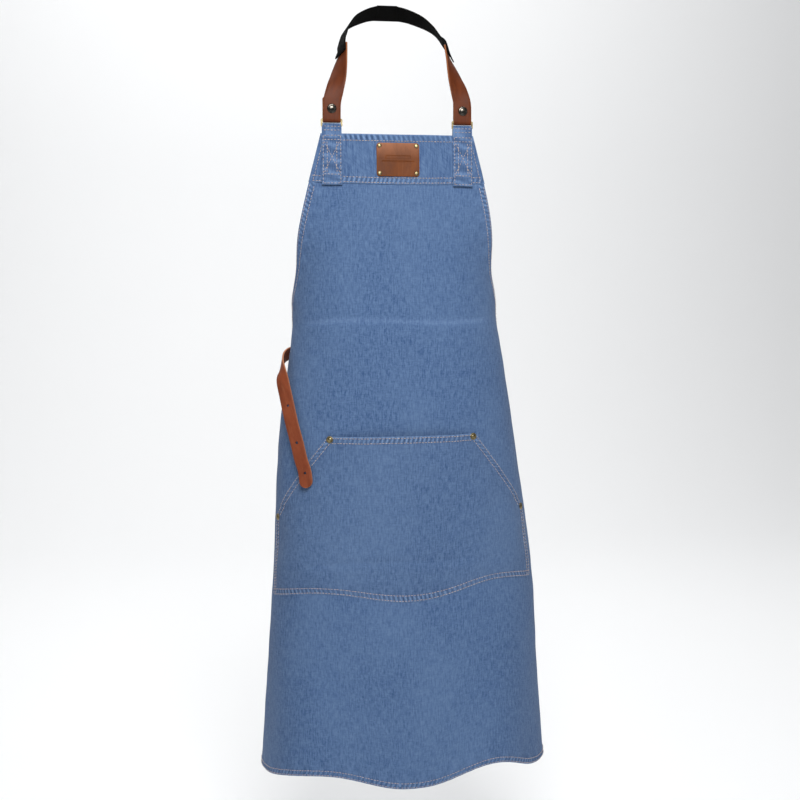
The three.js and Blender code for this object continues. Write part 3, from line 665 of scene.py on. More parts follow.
def bib_band():
    columns = np.linspace(-1, 1, 150)[None, :]
    share = np.concatenate([np.linspace(0, 0.06, 4), np.linspace(0.09, 0.9, 18), np.linspace(0.92, 1, 8)])
    share = share[:, None]
    half = half_width(share * 66) - 0.1
    s = columns * half
    v = share * band_low(s) + (1 - share) * -0.7
    to_low = band_low(s) - v
    to_side = half - np.abs(s)
    edge = np.minimum(np.minimum(to_low, to_side), v + 0.7)
    low_ropes, low_pale = roping(s + 0.4 * v, to_low, 10.5)
    top_ropes, top_pale = roping(s - 0.3 * v + 400, v, 9.0, 6.9)
    height = drape(s, v) + BAND_OFF + FACING * 0.75 + low_ropes + top_ropes
    wear_and_shade = 0.45 * np.exp(-((to_low / 1.2) ** 2)) + 0.4 * np.exp(-(((v + 0.7) / 1.4) ** 2))
    wear_and_shade = np.clip(wear_and_shade + low_pale + top_pale, -1, 1)
    outer = on_cloth(s, v, height - 0.45 * (1 - smoothstep(edge, 0, 1.0)))
    inner = on_cloth(s, v, drape(s, v) + 0.05 + 0 * v)
    band = shell("cloth_band", outer, inner, DENIM_BLUE, np.stack([s, -v * 0.5 + 0.4 * s], axis=-1), wear_and_shade)
    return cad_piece(band, "apron", "denim", "bib_band")


def band_stitches():
    s = np.arange(-103, 103.5, 1.5)
    lift = BAND_OFF + FACING * 0.75 + 0.25
    runs = [cloth_run(s, np.full_like(s, 8.3), drape(s, np.full_like(s, 8.3)) + lift)]
    wide = np.arange(-116, 116.5, 1.5)
    for up in (2.0, 8.6):
        v = band_low(wide) - up
        runs.append(cloth_run(wide, v, drape(wide, v) + lift))
    v = np.arange(9, 62, 1.5)
    for side in (-1, 1):
        s = side * (half_width(v) - 5.5)
        runs.append(cloth_run(s, v, drape(s, v) + lift))
    return sewn("stitches_band", runs, 4)


# ---- Pocket ----
POCKET_TOP, POCKET_HAND, POCKET_BOTTOM = 406.0, 521.0, 636.0  # drops of its top, hand corners and bottom
POCKET_TOP_HALF, POCKET_HAND_HALF, POCKET_BOTTOM_HALF = 103.0, 197.0, 209.0
POCKET_BELLY, POCKET_SHIFT = 8.0, 3.5
UPPER_SLANT, LOWER_SLANT = 0.774, 0.995  # cosines of the side edges' slopes
pocket_sag = smooth_through([(-209, 6), (-100, 0), (18, 9), (125, -2), (213, 0)])


def pocket_half(v):
    drops = [POCKET_TOP, POCKET_HAND, POCKET_BOTTOM]
    return np.interp(v, drops, [POCKET_TOP_HALF, POCKET_HAND_HALF, POCKET_BOTTOM_HALF])


def pocket_place(s, v):
    """Where the pocket's own (s, v) lies on the cloth: a little to the right, its right side higher."""
    drop = v - s * (0.01 + 0.00013 * (v - POCKET_TOP)) - 8 * smoothstep(v, 521, 636)
    drop = drop + pocket_sag(s) * np.clip((v - POCKET_HAND) / 115.0, 0, 1) ** 2
    return s + POCKET_SHIFT, drop


def pocket_edge(s, v):
    """Distance to the nearest side, bottom and top edge of the pocket."""
    slant = np.where(v < POCKET_HAND, UPPER_SLANT, LOWER_SLANT)
    side = (pocket_half(v) - np.abs(s)) * slant
    return side, POCKET_BOTTOM - v, v - POCKET_TOP


def pocket_height(s, v):
    side, low, top = pocket_edge(s, v)
    across = np.abs(s) / pocket_half(v)
    share = (v - POCKET_TOP) / 230.0
    free = np.minimum(1, across * 9 / 8)
    slack = np.clip(1 - free**4, 0, 1) * np.clip(1 - share**4, 0, 1)
    sewn = np.minimum(np.where(v > 505, side, 40), low)
    height = 1.1 + (POCKET_BELLY - 1.5) * slack
    pillow = 1.1 * smoothstep(sewn, 9, 26)
    edge = np.minimum(np.minimum(side, low), top)
    along = np.where(side < np.minimum(low, top), v, s) + 0.35 * edge
    ropes, pale = roping(along + 700, edge, 10.5)
    smile_v = 590 - 9 * np.cos(s / 62.0)
    inward = np.exp(-(((v - smile_v) / 5.5) ** 2)) * (1 - smoothstep(np.abs(s + 12), 70, 130))
    outward = np.exp(-(((v - smile_v - 10) / 8.0) ** 2)) * (1 - smoothstep(np.abs(s + 12), 80, 150))
    smile = outward - 1.5 * inward
    folds = 0.9 * np.sin(s / 31.0 + 0.6) * smoothstep(sewn, 10, 50) * share + 0.35 * small(s + 400, v)
    return height + pillow + ropes + smile + folds * 0.8, edge, pale


def pocket_panel():
    steps = EDGE_STEPS
    rows = np.concatenate([
        POCKET_TOP + steps, np.arange(422, 519, 2.2), [519, 521, 523], np.arange(525, 621, 2.2),
        POCKET_BOTTOM - steps[::-1],
    ])
    s, v = cloth_grid(rows, pocket_half(rows), pocket_half(rows), 190)
    height, edge, pale = pocket_height(s, v)
    place_s, place_v = pocket_place(s, v)
    base = drape(place_s, place_v)
    wear_and_shade = np.clip(0.6 * np.exp(-((edge / 1.1) ** 2)) + pale, -1, 1)
    top_fold = 0.4 * (1 - smoothstep(v - POCKET_TOP, 8, 11))
    outer = on_cloth(place_s, place_v, base + height + top_fold - 0.5 * (1 - smoothstep(edge, 0, 1.0)))
    inner = on_cloth(place_s, place_v, base + np.maximum(height - 1.15, 0.12))
    uv = np.stack([s + 900, -v], axis=-1)
    pocket = shell("cloth_pocket", outer, inner, POCKET_BLUE, uv, wear_and_shade, DENIM_BACK)
    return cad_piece(pocket, "apron", "denim", "pocket_panel")


def pocket_stitches():
    runs = []

    def add(s, v, lift=0.28):
        height, _, _ = pocket_height(s, v)
        place_s, place_v = pocket_place(s, v)
        runs.append(cloth_run(place_s, place_v, drape(place_s, place_v) + height + lift))

    for inset in (2.2, 8.8):
        s = np.arange(-POCKET_TOP_HALF + 6, POCKET_TOP_HALF - 5, 1.5)
        add(s, np.full_like(s, POCKET_TOP + inset), 0.65)
        s = np.arange(-POCKET_BOTTOM_HALF + 3, POCKET_BOTTOM_HALF - 2, 1.5)
        add(s, np.full_like(s, POCKET_BOTTOM - inset))
        for side in (-1, 1):
            v = np.arange(POCKET_TOP + 3, POCKET_HAND - 1, 1.2)
            add(side * (pocket_half(v) - inset / UPPER_SLANT), v)
            v = np.arange(POCKET_HAND + 3, POCKET_BOTTOM - 2, 1.5)
            add(side * (pocket_half(v) - inset), v)
    return sewn("stitches_pocket", runs, 6)


# ---- Strips: straps, tabs, band ----
def catmull_rom(points, count):
    """Points along a centripetal Catmull-Rom curve."""
    points = np.asarray(points, float)
    last = len(points) - 1
    made = []
    for k in range(count + 1):
        place = last * k / count
        i = min(int(place), last - 1)
        t = place - i
        p1, p2 = points[i], points[i + 1]
        p0 = points[i - 1] if i > 0 else 2 * p1 - p2
        p3 = points[i + 2] if i + 2 <= last else 2 * p2 - p1
        d0, d1, d2 = (max(np.dot(b - a, b - a) ** 0.25, 1e-4) for a, b in ((p0, p1), (p1, p2), (p2, p3)))
        m1 = ((p1 - p0) / d0 - (p2 - p0) / (d0 + d1) + (p2 - p1) / d1) * d1
        m2 = ((p2 - p1) / d1 - (p3 - p1) / (d1 + d2) + (p3 - p2) / d2) * d1
        square = -3 * p1 + 3 * p2 - 2 * m1 - m2
        made.append(p1 + m1 * t + square * t**2 + (2 * p1 - 2 * p2 + m1 + m2) * t**3)
    return np.array(made)


def smooth_stations(places, count):
    at = catmull_rom([p for p, _ in places], count)
    out = unit(catmull_rom([o for _, o in places], count))
    return list(zip(at, out))


def arc(centre, radius, start, end, steps, axis_a, axis_b):
    made = []
    for k in range(steps + 1):
        angle = start + (end - start) * k / steps
        out = np.asarray(axis_a) * math.cos(angle) + np.asarray(axis_b) * math.sin(angle)
        made.append((np.asarray(centre) + out * radius, out))
    return made


def strip_points(stations, thick, halves, section, wavy=None):
    """Rings of points round a strip: section is (across -1..1, height -0.5..0.5) pairs."""
    at = np.array([p for p, _ in stations])
    out = np.array([o for _, o in stations])
    ahead = np.concatenate([at[1:], at[-1:]]) - np.concatenate([at[:1], at[:-1]])
    run = unit(ahead)
    out = unit(out - run * np.sum(out * run, axis=1, keepdims=True))
    wide = np.cross(out, run)
    halves = np.broadcast_to(halves, (len(at),))
    across, high = section[:, 0], section[:, 1]
    rings = (
        at[:, None, :]
        + wide[:, None, :] * (across[None, :] * halves[:, None])[..., None]
        + out[:, None, :] * (high[None, :] * thick * np.ones((len(at), 1)))[..., None]
    )
    if wavy is not None:
        rings = rings + out[:, None, :] * wavy[..., None]
    along = run_lengths(at)
    return rings, along, out, wide


def flat_section(per_face=9, round_share=0.06):
    """A flat strip's outline: two faces with softened edges, going round once."""
    across = np.linspace(-1 + round_share, 1 - round_share, per_face)
    face = [(a, 0.5) for a in across]
    edge = [(1 - round_share * 0.3, 0.36), (1.0, 0.0), (1 - round_share * 0.3, -0.36)]
    back = [(a, -0.5) for a in across[::-1]]
    other = [(-1 + round_share * 0.3, -0.36), (-1.0, 0.0), (-1 + round_share * 0.3, 0.36)]
    return np.array(face + edge + back + other)


def strip(name, stations, thick, halves, material, section=None, wavy=None, edge_worn=1.0,
          face_wear_and_shade=0.0):
    section = flat_section() if section is None else section
    rings, along, _, _ = strip_points(stations, thick, halves, section, wavy)
    n, m = rings.shape[:2]
    i = np.arange(n - 1)[:, None] * m
    j = np.arange(m)[None, :]
    after = (j + 1) % m
    quads = np.stack([i + j, i + after, i + m + after, i + m + j], axis=-1).reshape(-1, 4).tolist()
    faces = quads + [list(range(m - 1, -1, -1)), list(range((n - 1) * m, n * m))]
    edge = (np.abs(section[:, 1]) < 0.4).astype(float) * edge_worn
    wear_and_shade = np.broadcast_to(edge[None, :] + face_wear_and_shade, (n, m)).copy()
    wear_and_shade[[0, -1], :] = np.maximum(wear_and_shade[[0, -1], :], edge_worn * 0.6)
    wide = np.broadcast_to(halves, (n,))[:, None] * section[None, :, 0] + 2 * thick * section[None, :, 1]
    uv = np.stack([wide, np.broadcast_to(along[:, None], (n, m))], axis=-1)
    return build(name, rings.reshape(-1, 3), faces, material, uv.reshape(-1, 2), wear_and_shade.ravel())


STRAP_SECTION, WAIST_SECTION = flat_section(9, 0.05), flat_section(9, 0.06)
FRONT = np.array([0.0, -1.0, 0.0])
UP = np.array([0.0, 0.0, 1.0])
TAB_S, TAB_HALF, TAB_DROP, TAB_BACK_DROP, TAB_THICK, TAB_FOLD_HALF = 89.0, 13.75, 68.0, 34.0, 2.0, 12.0
RING_FOLD = 2.0  # inner radius of a fold round a ring's bar
NECK_HALF, BAND_HALF = 12.0, 12.5
TAB_Y = float(on_cloth(TAB_S, 0, (BAND_OFF + FACING - DENIM) / 2)[1])
MEET_Z = BIB_TOP_Z + 14.5
LOW_BAR_Z = MEET_Z - GAP / 2 - TAB_THICK - RING_FOLD
HIGH_BAR_Z = MEET_Z + GAP / 2 + LEATHER + RING_FOLD
BAR_SPACING = HIGH_BAR_Z - LOW_BAR_Z
FOLD_MID = RING_FOLD + LEATHER / 2
SIDES = (("left", -1), ("right", 1))


def strap_tab(name, side):
    x = side * TAB_S
    bar = np.array([x, TAB_Y, LOW_BAR_Z])
    front_off = BAND_OFF + FACING + 0.35 + TAB_THICK / 2
    back_off = -(DENIM + 0.45 + TAB_THICK / 2)

    def layer(v, off, sign):
        at, out, _, _ = cloth_frame(x, v, off + float(drape(x, v)) * (v > 3))
        return at, out * sign

    front = [layer(v, front_off, 1) for v in np.arange(TAB_DROP, 1, -1.5)]
    fold = arc(bar, RING_FOLD + TAB_THICK / 2, 0, math.pi, 16, FRONT, UP)
    back = [layer(v, back_off, -1) for v in np.arange(3, TAB_BACK_DROP + 1, 2.0)]
    stations = [*front, *fold, *back]
    halves = np.full(len(stations), TAB_HALF)
    halves[len(front) : len(front) + len(fold)] = TAB_FOLD_HALF + 0.6
    halves = np.convolve(np.pad(halves, 2, mode="edge"), np.ones(5) / 5, mode="valid")
    section = flat_section(15, 0.05)
    k = np.arange(len(stations))[:, None]
    a = section[None, :, 0]
    outside = (section[:, 1] > 0)[None, :]
    puckers = 0.3 * np.sin(k * 1.3 + 0.9 * a + 2 * np.sin(k / 5.0 + side)) * np.abs(a)
    puckers = puckers + 0.26 * np.sin(k * 0.62 - 1.6 * a + 1.5 * np.sin(k / 7.0)) * (1 - a**2)
    wavy = puckers * outside * (k < len(front) - 4) - 0.25 * (np.abs(np.abs(a) - 0.83) < 0.07) * outside
    # Paler on the crests of the puckers (wear), darker in their troughs (painted shade).
    pale = np.clip(1.5 * puckers, -0.7, 0.5) * outside
    tab = strip(f"tab_{name}", stations, TAB_THICK, halves, DENIM_BLUE, section, wavy, 0.6, pale)
    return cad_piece(tab, "apron", "denim", f"strap_tab_{name}")


def tab_stitches():
    runs = []
    off = BAND_OFF + FACING + 0.35 + TAB_THICK + 0.15
    for _, side in SIDES:
        x = side * TAB_S

        def add(ds, v):
            ds, v = np.asarray(ds, float), np.asarray(v, float)
            runs.append(cloth_run(x + ds, v, drape(x, v) + off + 0.12))

        v = np.arange(2, TAB_DROP - 1, 1.5)
        for edge in (-11.6, 11.6):
            add(np.full_like(v, edge), v)
        ds = np.arange(-11.4, 11.5, 1.2)
        for level in (2.5, 8.0, 54.0, TAB_DROP - 2.2):
            add(ds, np.full_like(ds, level))
        high, low = np.array([x, TAB_Y - RING_FOLD - TAB_THICK, LOW_BAR_Z]), on_cloth(x, 1, off)
        for share in (0.5, 0.93):
            row = low + (high - low) * share + np.stack([ds, 0 * ds - 0.1, 0 * ds], axis=-1)
            runs.append((row, np.broadcast_to(FRONT, row.shape)))
        t = np.linspace(0, 1, 40)
        for start, end in ((-10.5, 10.5), (10.5, -10.5)):
            add(start + (end - start) * t, 10 + 42 * t)
        for inner in (-6.4, 6.4):
            v = np.arange(10, 53, 1.5)
            add(np.full_like(v, inner), v)
    return sewn("stitches_tabs", runs, 9)


NECK_ROUTE = [
    ([TAB_S, TAB_Y - FOLD_MID, -162], [0, -1, 0]),
    ([88.4, TAB_Y - FOLD_MID, -144], [0, -1, 0]),
    ([84.4, -115.6, -127], [0.2, -0.97, 0.1]),
    ([79.9, -112, -111], [0.48, -0.84, 0.25]),
    ([74, -101.5, -84], [0.84, -0.45, 0.3]),
    ([70.6, -91, -67], [0.93, -0.15, 0.35]),
]
BAND_ROUTE = [
    ([72.9, -98.5, -78.5], [0.87, -0.37, 0.32]),
    ([70.4, -90.5, -66.3], [0.93, -0.14, 0.36]),
    ([67.4, -69, -54.5], [0.82, 0.05, 0.57]),
    ([60, -46, -34.5], [0.6, 0.25, 0.76]),
    ([49.8, -29.5, -21], [0.4, 0.45, 0.8]),
    ([28.5, -11, -7], [0.14, 0.63, 0.76]),
]


def mirrored(places, side):
    return [(np.array([side * p[0], p[1], p[2]]), np.array([side * o[0], o[1], o[2]])) for p, o in places]


TAIL_START, TAIL_END = 4.5, 30.0
STUD_Z = HIGH_BAR_Z + 14


def neck_strap(name, side):
    bar = np.array([side * TAB_S, TAB_Y, HIGH_BAR_Z])
    fold = arc(bar, FOLD_MID, math.pi, 2 * math.pi, 18, FRONT, UP)
    rear = (np.array([bar[0], fold[0][0][1], HIGH_BAR_Z + TAIL_START - 1.5]), fold[0][1])
    rising = smooth_stations(mirrored(NECK_ROUTE, side), 60)
    stations = [rear, *fold, *rising]
    strap = strip(f"neck_leather_{name}", stations, LEATHER, NECK_HALF, STRAP_LEATHER, STRAP_SECTION)
    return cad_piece(strap, "neck_loop", "strap_leather", f"neck_strap_{name}")


def neck_tail(name, side):
    x, y = side * TAB_S, TAB_Y + FOLD_MID
    stations = [
        (np.array([x, y + 0.9 * smoothstep(z, 18, TAIL_END), HIGH_BAR_Z + z]), np.array([0.0, 1.0, 0.0]))
        for z in np.linspace(TAIL_START - 1.5, TAIL_END, 24)
    ]
    far = TAIL_END - np.linspace(TAIL_START - 1.5, TAIL_END, 24)
    halves = NECK_HALF - 1.4 * np.clip(1 - far / 2.4, 0, 1) ** 2
    tail = strip(f"neck_leather_tail_{name}", stations, LEATHER, halves, STRAP_LEATHER, STRAP_SECTION)
    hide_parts(f"neck_tail_{name}")
    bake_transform(tail)
    return tail


def neck_band():
    face = unit([0.0, 1.0, 1.0])
    lift = LEATHER / 2 + WEBBING / 2 + 3 * GAP
    end = np.array([15.0, face[1] * (WEBBING / 2 - lift), face[2] * (WEBBING / 2 - lift)])

    def half(side):
        places = [*mirrored(BAND_ROUTE, side), (end * [side, 1, 1], face)]
        return [(at + out * lift, out) for at, out in smooth_stations(places, 48)]

    middle = [(np.array([x, 0, 0]) + face * WEBBING / 2, face) for x in np.linspace(-12, 12, 9)]
    stations = [*half(-1), *middle, *half(1)[::-1]]
    band = strip("neck_tape", stations, WEBBING, BAND_HALF, BLACK_TAPE, flat_section(11, 0.05), None, 0.0)
    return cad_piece(band, "neck_loop", "webbing", "neck_band")


# ---- Waist straps ----
WAIST_DROP, WAIST_HALF, WAIST_TAB_HALF, WAIST_TAB_RUN, WAIST_CLEAR = 334.0, 9.5, 12.0, 42.0, 6.5
WAIST_EDGE = float(half_width(WAIST_DROP))
PINCH = (LEATHER + GAP) / 2
LOOP_LONG, LOOP_RIVET = 24.0, 15.0


def waist_frame(side):
    at, out, right, up = cloth_frame(side * WAIST_EDGE, WAIST_DROP, -DENIM / 2)
    along = right * side
    near = at + along * WAIST_CLEAR
    far = near + along * BAR_SPACING
    lead = unit(out - 0.2 * along)
    face = unit(along - lead * np.dot(along, lead))
    return dict(out=out, along=along, up=up, near=near, far=far, lead=lead, face=face)


def waist_tab(name, side):
    w = waist_frame(side)
    off = 0.8 + TAB_THICK / 2

    def layer(back, high, sign):
        s = side * (WAIST_EDGE - back)
        folds = float(drape(s, WAIST_DROP)) * min(1, back / 20)
        at, out, _, _ = cloth_frame(s, WAIST_DROP, high + folds)
        return at, out * sign

    outer = [layer(b, off, 1) for b in np.arange(WAIST_TAB_RUN, 2, -2.0)]
    inner = [layer(b, -DENIM - off, -1) for b in np.arange(3, 31, 2.0)]
    fold = arc(w["near"], RING_FOLD + TAB_THICK / 2, 0, math.pi, 14, w["out"], w["along"])
    tab = strip(f"tab_waist_{name}", [*outer, *fold, *inner], TAB_THICK, WAIST_TAB_HALF, DENIM_BLUE,
                flat_section(9, 0.05), None, 0.7, 0.1)
    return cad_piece(tab, "apron", "denim", f"waist_tab_{name}")


def loop_stations(bar, lead, face):
    def layer(run, high, sign):
        return bar + lead * run + face * sign * high, face * sign

    spread = [(LOOP_LONG, PINCH), (20, PINCH), (LOOP_RIVET, PINCH), (12, PINCH + 0.1), (9, PINCH + 0.4)]
    spread += [(6.4, 2.1), (4, FOLD_MID - 0.5)]
    fold = arc(bar, FOLD_MID, -math.pi / 2, -1.5 * math.pi, 16, lead, face)
    return [*(layer(r, h, -1) for r, h in spread), *fold, *(layer(r, h, 1) for r, h in spread[::-1])]


def in_space(x, y, z, *out):
    return np.array([x, y, z], float), np.array(out, float)


def from_cloth(s, v, off, lean_in=0.0):
    """A strap's station lying off the cloth, its face turned towards the front by lean_in."""
    at, out, _, _ = cloth_frame(s, v, off)
    return at, unit(out + (FRONT - out) * lean_in)


LEFT_TURN = [(-89, 84, -512, 0.25, 0.97, 0), (-105, 71, -509, -0.6, 0.8, 0)]
LEFT_BEHIND = [(-285, 318, 10), (-262, 309, 8), (-240, 303, 8), (-222, 300, 8.5), (-207, 305, 10)]
LEFT_BULGE = [(-156.5, -66, -505, -0.8, -0.6, 0), (-155.5, -79, -520, -0.45, -0.89, 0)]
LEFT_DRAPE = [
    (-162.5, 351.5, 10.5, 0.6), (-157, 368, 9.3, 0.6), (-149.5, 391.5, 8.3, 0.5), (-141, 417, 7.8, 0.5),
    (-134.5, 439.5, 8.2, 0.4), (-128, 458.5, 8.8, 0.4), (-124.8, 479, 11.3, 0.3),
]
PUNCHED = [(-157, 368), (-141, 417), (-128, 458.5)]
HOLE = 1.8


def punched(strap, holes):
    """The strap with round holes cut through it: (point, direction) pairs."""
    for at, out in holes:
        place = Vector(at) * MM
        bpy.ops.mesh.primitive_cylinder_add(vertices=20, radius=HOLE * MM, depth=16 * MM, location=place)
        tool = bpy.context.object
        tool.rotation_mode = "QUATERNION"
        tool.rotation_quaternion = Vector(out).to_track_quat("Z", "Y")
        cutter = strap.modifiers.new("hole", "BOOLEAN")
        cutter.operation, cutter.object, cutter.solver = "DIFFERENCE", tool, "EXACT"
        bpy.context.view_layer.update()
        made = bpy.data.meshes.new_from_object(strap.evaluated_get(bpy.context.evaluated_depsgraph_get()))
        strap.modifiers.clear()
        strap.data = made
        bpy.data.objects.remove(tool)
    return strap


def waist_strap_left():
    w = waist_frame(-1)
    loop = loop_stations(w["far"], w["lead"], w["face"])
    turn_back, bulge = ([in_space(*p) for p in part] for part in (LEFT_TURN, LEFT_BULGE))
    behind, across = ([from_cloth(*p) for p in part] for part in (LEFT_BEHIND, LEFT_DRAPE))
    body = smooth_stations([loop[-1], *turn_back, *behind, *bulge, *across], 220)[1:]
    tip = body[-1][0]
    short = [max(0.0, WAIST_HALF - float(np.linalg.norm(at - tip))) for at, _ in body]
    rounded = [max(1.2, math.sqrt(max(0, WAIST_HALF ** 2 - d * d))) for d in short]
    halves = np.array([WAIST_HALF] * len(loop) + rounded)
    strap = strip("waist_leather_left", [*loop, *body], LEATHER, halves, WAIST_LEATHER, WAIST_SECTION)
    punched(strap, [from_cloth(s, v, 8.5, 0.5) for s, v in PUNCHED])
    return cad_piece(strap, "waist_strap_left", "strap_leather", "waist_strap_left")


BUCKLE_X, BUCKLE_Y, BUCKLE_BAR_Z = 126.0, 104.0, -704.0


def waist_strap_right():
    w = waist_frame(1)
    x, y = BUCKLE_X, BUCKLE_Y
    loop = loop_stations(w["far"], w["lead"], w["face"])
    droop = [
        loop[-1],
        ((121, 83, -518), (-0.7, 0.7, 0)),
        ((x - 1, y - 6, -534), (-0.45, 0.9, 0)),
        ((x, y, -562), (-0.1, 1, 0)),
        ((x, y, -600), (0, 1, 0)),
        ((x, y, BUCKLE_BAR_Z + LOOP_LONG), (0, 1, 0)),
    ]
    bar = np.array([x, y - PINCH, BUCKLE_BAR_Z])
    end = loop_stations(bar, UP, np.array([0.0, 1.0, 0.0]))[::-1]
    places = [(np.array(a, float), np.array(o, float)) for a, o in droop]
    stations = [*loop, *smooth_stations(places, 80)[1:-1], *end]
    strap = strip("waist_leather_right", stations, LEATHER, WAIST_HALF, WAIST_LEATHER, WAIST_SECTION)
    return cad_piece(strap, "waist_strap_right", "strap_leather", "waist_strap_right")


# ---- Label ----
LABEL_HALF_WIDE, LABEL_DROP, LABEL_HALF_HIGH, LABEL_THICK = 29.0, 33.5, 22.5, 1.8
LABEL_STUD_X, LABEL_STUD_HIGH = 25.0, 18.5


def label_basis():
    off = BAND_OFF + FACING + 0.4
    low = on_cloth(0, LABEL_DROP + LABEL_STUD_HIGH, off)
    high = on_cloth(0, LABEL_DROP - LABEL_STUD_HIGH, off)
    up = unit(high - low)
    right = np.array([1.0, 0, 0])
    return on_cloth(0, LABEL_DROP, off), right, up, np.cross(right, up)


def label_patch():
    at, right, up, out = label_basis()
    half_w, half_h, corner = LABEL_HALF_WIDE, LABEL_HALF_HIGH, 4.0
    columns, rows = 117, 91
    u = np.linspace(-1, 1, columns)[None, :] * np.ones((rows, 1))
    w = np.linspace(1, -1, rows)[:, None] * np.ones((1, columns))
    x, z = u * half_w, w * half_h
    over_x = np.maximum(np.abs(x) - (half_w - corner), 0)
    over_z = np.maximum(np.abs(z) - (half_h - corner), 0)
    reach_out = np.hypot(over_x, over_z)
    pull = np.where(reach_out > 0, np.maximum(over_x, over_z) / np.maximum(reach_out, 1e-6), 1)
    x = np.sign(x) * (np.abs(x) - over_x + over_x * pull)
    z = np.sign(z) * (np.abs(z) - over_z + over_z * pull)
    to_edge = np.minimum(half_w - np.abs(u * half_w), half_h - np.abs(w * half_h))
    height = LABEL_THICK - 0.45 * (1 - smoothstep(to_edge, 0, 1.2)) + 0.12 * small(x + 50, z)

    def groove(centre, half_long, half_thick, depth):
        inside = (1 - smoothstep(np.abs(x - centre[0]), half_long - 0.5, half_long)) * (
            1 - smoothstep(np.abs(z - centre[1]), half_thick - 0.45, half_thick + 0.1)
        )
        return depth * inside

    dents = groove((0, 3.2), 17, 2.3, 0.6) + groove((0, -2.6), 22, 0.8, 0.55)
    height = height - dents
    wear_and_shade = np.clip(0.5 * np.exp(-((to_edge / 0.9) ** 2)), 0, 1)
    front = at + right * x[..., None] + up * z[..., None] + out * height[..., None]
    back = at + right * x[..., None] + up * z[..., None] + out * np.zeros_like(x)[..., None]
    patch = shell("label_leather", front, back, PATCH_LEATHER, np.stack([x, z], axis=-1), wear_and_shade)
    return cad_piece(patch, "apron", "patch_leather", "label_patch")


# ---- Small metal pieces ----
def turned(name, places, profile, material, segments=40):
    """Turned pieces, one at each (point, axis): profile is (radius, height) from the outside in."""
    points, faces = [], []
    rings = len(profile)
    angles = np.arange(segments) * 2 * np.pi / segments
    for at, axis in places:
        axis = unit(axis)
        side = unit(np.cross(axis, UP if abs(axis[2]) < 0.9 else FRONT))
        other = np.cross(axis, side)
        base = len(points) * rings * segments
        around = side[None, :] * np.cos(angles)[:, None] + other[None, :] * np.sin(angles)[:, None]
        points.append(np.array([np.asarray(at) + around * r + axis * h for r, h in profile]).reshape(-1, 3))
        for i in range(rings - 1):
            for j in range(segments):
                k = (j + 1) % segments
                faces.append((base + i * segments + j, base + i * segments + k,
                              base + (i + 1) * segments + k, base + (i + 1) * segments + j))
        faces.append(tuple(base + j for j in range(segments))[::-1])
        faces.append(tuple(base + (rings - 1) * segments + j for j in range(segments)))
    return build(name, np.concatenate(points), faces, material)


RIVET_PROFILE = [
    (4.7, 0), (4.9, 0.35), (4.75, 0.8), (4.2, 1.15), (3.6, 1.2),
    (3.1, 1.02), (2.6, 1.1), (1.9, 1.7), (1.0, 2.0), (0.3, 2.06),
]
STUD_PROFILE = [(2.75, 0), (2.9, 0.25), (2.7, 0.6), (2.1, 0.92), (1.2, 1.08), (0.3, 1.12)]
SNAP_PROFILE = [
    (6.1, 0), (6.3, 0.3), (6.2, 0.75), (5.7, 1.25), (5.2, 1.5),
    (4.7, 1.55), (4.2, 1.75), (3.2, 2.2), (1.8, 2.5), (0.4, 2.58),
]


def pocket_rivets():
    corners = [(-99, 410), (99, 410), (-192, 522), (192, 522)]
    for k, (s, v) in enumerate(corners, 1):
        place_s, place_v = pocket_place(s, v)
        height, _, _ = pocket_height(s, v)
        off = float(height + drape(place_s, place_v)) + 0.25
        at, out, _, _ = cloth_frame(float(place_s), float(place_v), off)
        rivet = turned(f"rivet_pocket_{k}", [(at, out)], RIVET_PROFILE, BRASS)
        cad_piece(rivet, "apron", "antique_brass", f"pocket_rivet_{k}")


def label_studs():
    at, right, up, out = label_basis()
    for k, (i, j) in enumerate([(-1, 1), (1, 1), (-1, -1), (1, -1)], 1):
        place = at + right * i * LABEL_STUD_X + up * j * LABEL_STUD_HIGH + out * (LABEL_THICK + 0.1)
        stud = turned(f"stud_label_{k}", [(place, out)], STUD_PROFILE, BRASS)
        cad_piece(stud, "apron", "antique_brass", f"label_rivet_{k}")


def snap_caps():
    for name, side in SIDES:
        at = np.array([side * TAB_S, TAB_Y - FOLD_MID - LEATHER / 2 - 0.1, STUD_Z])
        cap = turned(f"snap_{name}", [(at, FRONT)], SNAP_PROFILE, GUNMETAL, 48)
        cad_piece(cap, "neck_loop", "gunmetal", f"neck_snap_cap_{name}")


# ---- Make everything ----
panel = apron_panel()
hem_thread = panel_stitches()
band = bib_band()
band_thread = band_stitches()
pocket = pocket_panel()
pocket_thread = pocket_stitches()
tabs = [strap_tab(*pair) for pair in SIDES] + [waist_tab(*pair) for pair in SIDES]
tab_thread = tab_stitches()
for pair in SIDES:
    neck_strap(*pair)
    neck_tail(*pair)
neck_band()
waist_strap_left()
waist_strap_right()
label_patch()
pocket_rivets()
label_studs()
snap_caps()

# The CAD nodes that stay: rings, buckle and hidden fastenings in metal, and the leather keeper.
METALS = {"gunmetal": GUNMETAL, "antique_brass": BRASS, "strap_leather": STRAP_LEATHER, "denim": DENIM_BLUE,
          "webbing": BLACK_TAPE, "patch_leather": PATCH_LEATHER}
for part in frame["record"]["subparts"]:
    node = frame["nodes"][part["node"]]
    node.data.materials.clear()
    node.data.materials.append(METALS[part["material_slot"]])
    if part["node"] in ("buckle_frame", "buckle_prong", "strap_keeper") or "_ring_" in part["node"]:
        soften = node.modifiers.new("soften", "BEVEL")
        soften.width, soften.segments, soften.limit_method = 0.5 * MM, 3, "ANGLE"
        soften.angle_limit = math.radians(40)

# ---- Floor, light and camera ----
scene = bpy.context.scene
scene.view_settings.view_transform = "Standard"


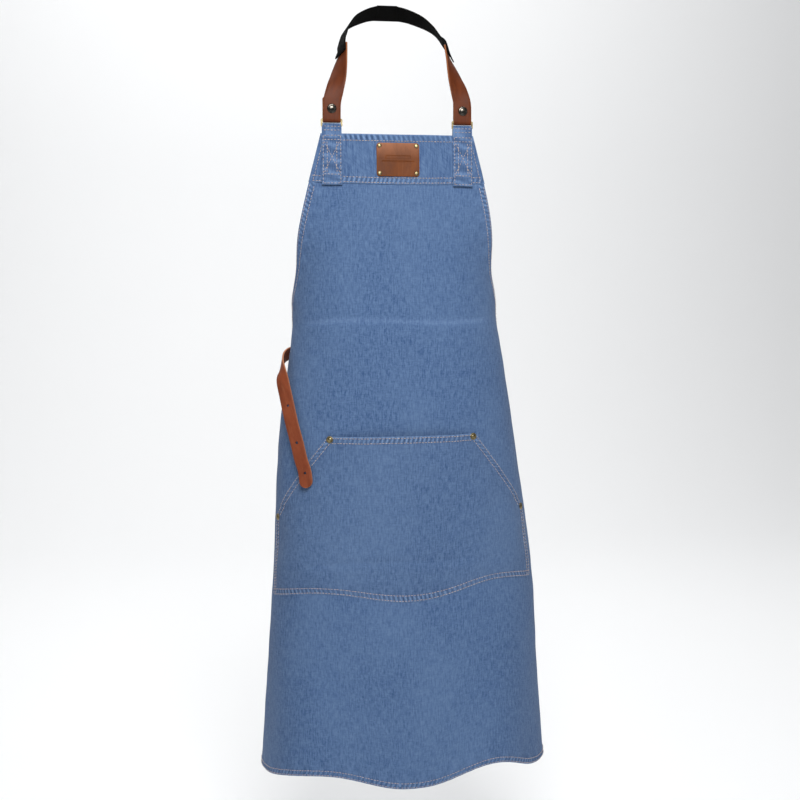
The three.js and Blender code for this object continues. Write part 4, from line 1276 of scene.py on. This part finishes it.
def plain(name, colour):
    material, tree, shader = nodes_of(name)
    shade = noise(tree, coordinates(tree, "Object"), 0.8)
    finished(shader, Base_Color=mix(tree, shade, colour, tuple(c * 0.985 for c in colour)), Roughness=0.9,
             Specular_IOR_Level=0.1)
    return material


def floor():
    """A pale floor that curves up into a pale wall behind the apron."""
    level, bend, radius, wide, tall = -1.32, 2.6, 1.6, 9.0, 7.0
    profile = [(-wide, level), (bend, level)]
    for angle in np.linspace(0.1, math.pi / 2, 14):
        profile.append((bend + radius * math.sin(angle), level + radius * (1 - math.cos(angle))))
    profile.append((bend + radius, tall))
    points = [(x / MM, y / MM, z / MM) for y, z in profile for x in (-wide, wide)]
    faces = [(2 * i, 2 * i + 1, 2 * i + 3, 2 * i + 2) for i in range(len(profile) - 1)]
    made = build("floor", points, faces, plain("pale_floor", (0.93, 0.935, 0.94)))


def lamp(name, at, aim, size, power, colour=(1, 1, 1)):
    data = bpy.data.lights.new(name, "AREA")
    data.shape, data.size, data.energy, data.color = "SQUARE", size, power, colour
    made = bpy.data.objects.new(name, data)
    made.location = at
    made.rotation_mode = "QUATERNION"
    made.rotation_quaternion = (Vector(aim) - Vector(at)).to_track_quat("-Z", "Y")
    scene.collection.objects.link(made)


floor()
lamp("key", (-0.12, -1.9, 0.75), (0, -0.1, -0.4), 0.9, 46)
lamp("fill", (2.2, -2.2, 0.2), (0, 0, -0.6), 1.8, 3)
lamp("backdrop", (0, 1.2, 2.6), (0, 3.2, -0.6), 3.0, 128)
world = bpy.data.worlds.new("studio")
world.use_nodes = True
world.node_tree.nodes["Background"].inputs["Color"].default_value = (0.97, 0.98, 1.0, 1)
world.node_tree.nodes["Background"].inputs["Strength"].default_value = 0.15
scene.world = world

pitch = math.radians(4.68)
look = Vector((0.1392 * math.cos(pitch), 0.9903 * math.cos(pitch), -math.sin(pitch)))
camera_data = bpy.data.cameras.new("camera")
camera_data.lens = 55.0
camera_data.sensor_width = 36.0
camera = bpy.data.objects.new("camera", camera_data)
camera.location = (-0.2297, -1.774, -0.408)
camera.rotation_mode = "QUATERNION"
camera.rotation_quaternion = look.to_track_quat("-Z", "Y")
scene.collection.objects.link(camera)
scene.camera = camera
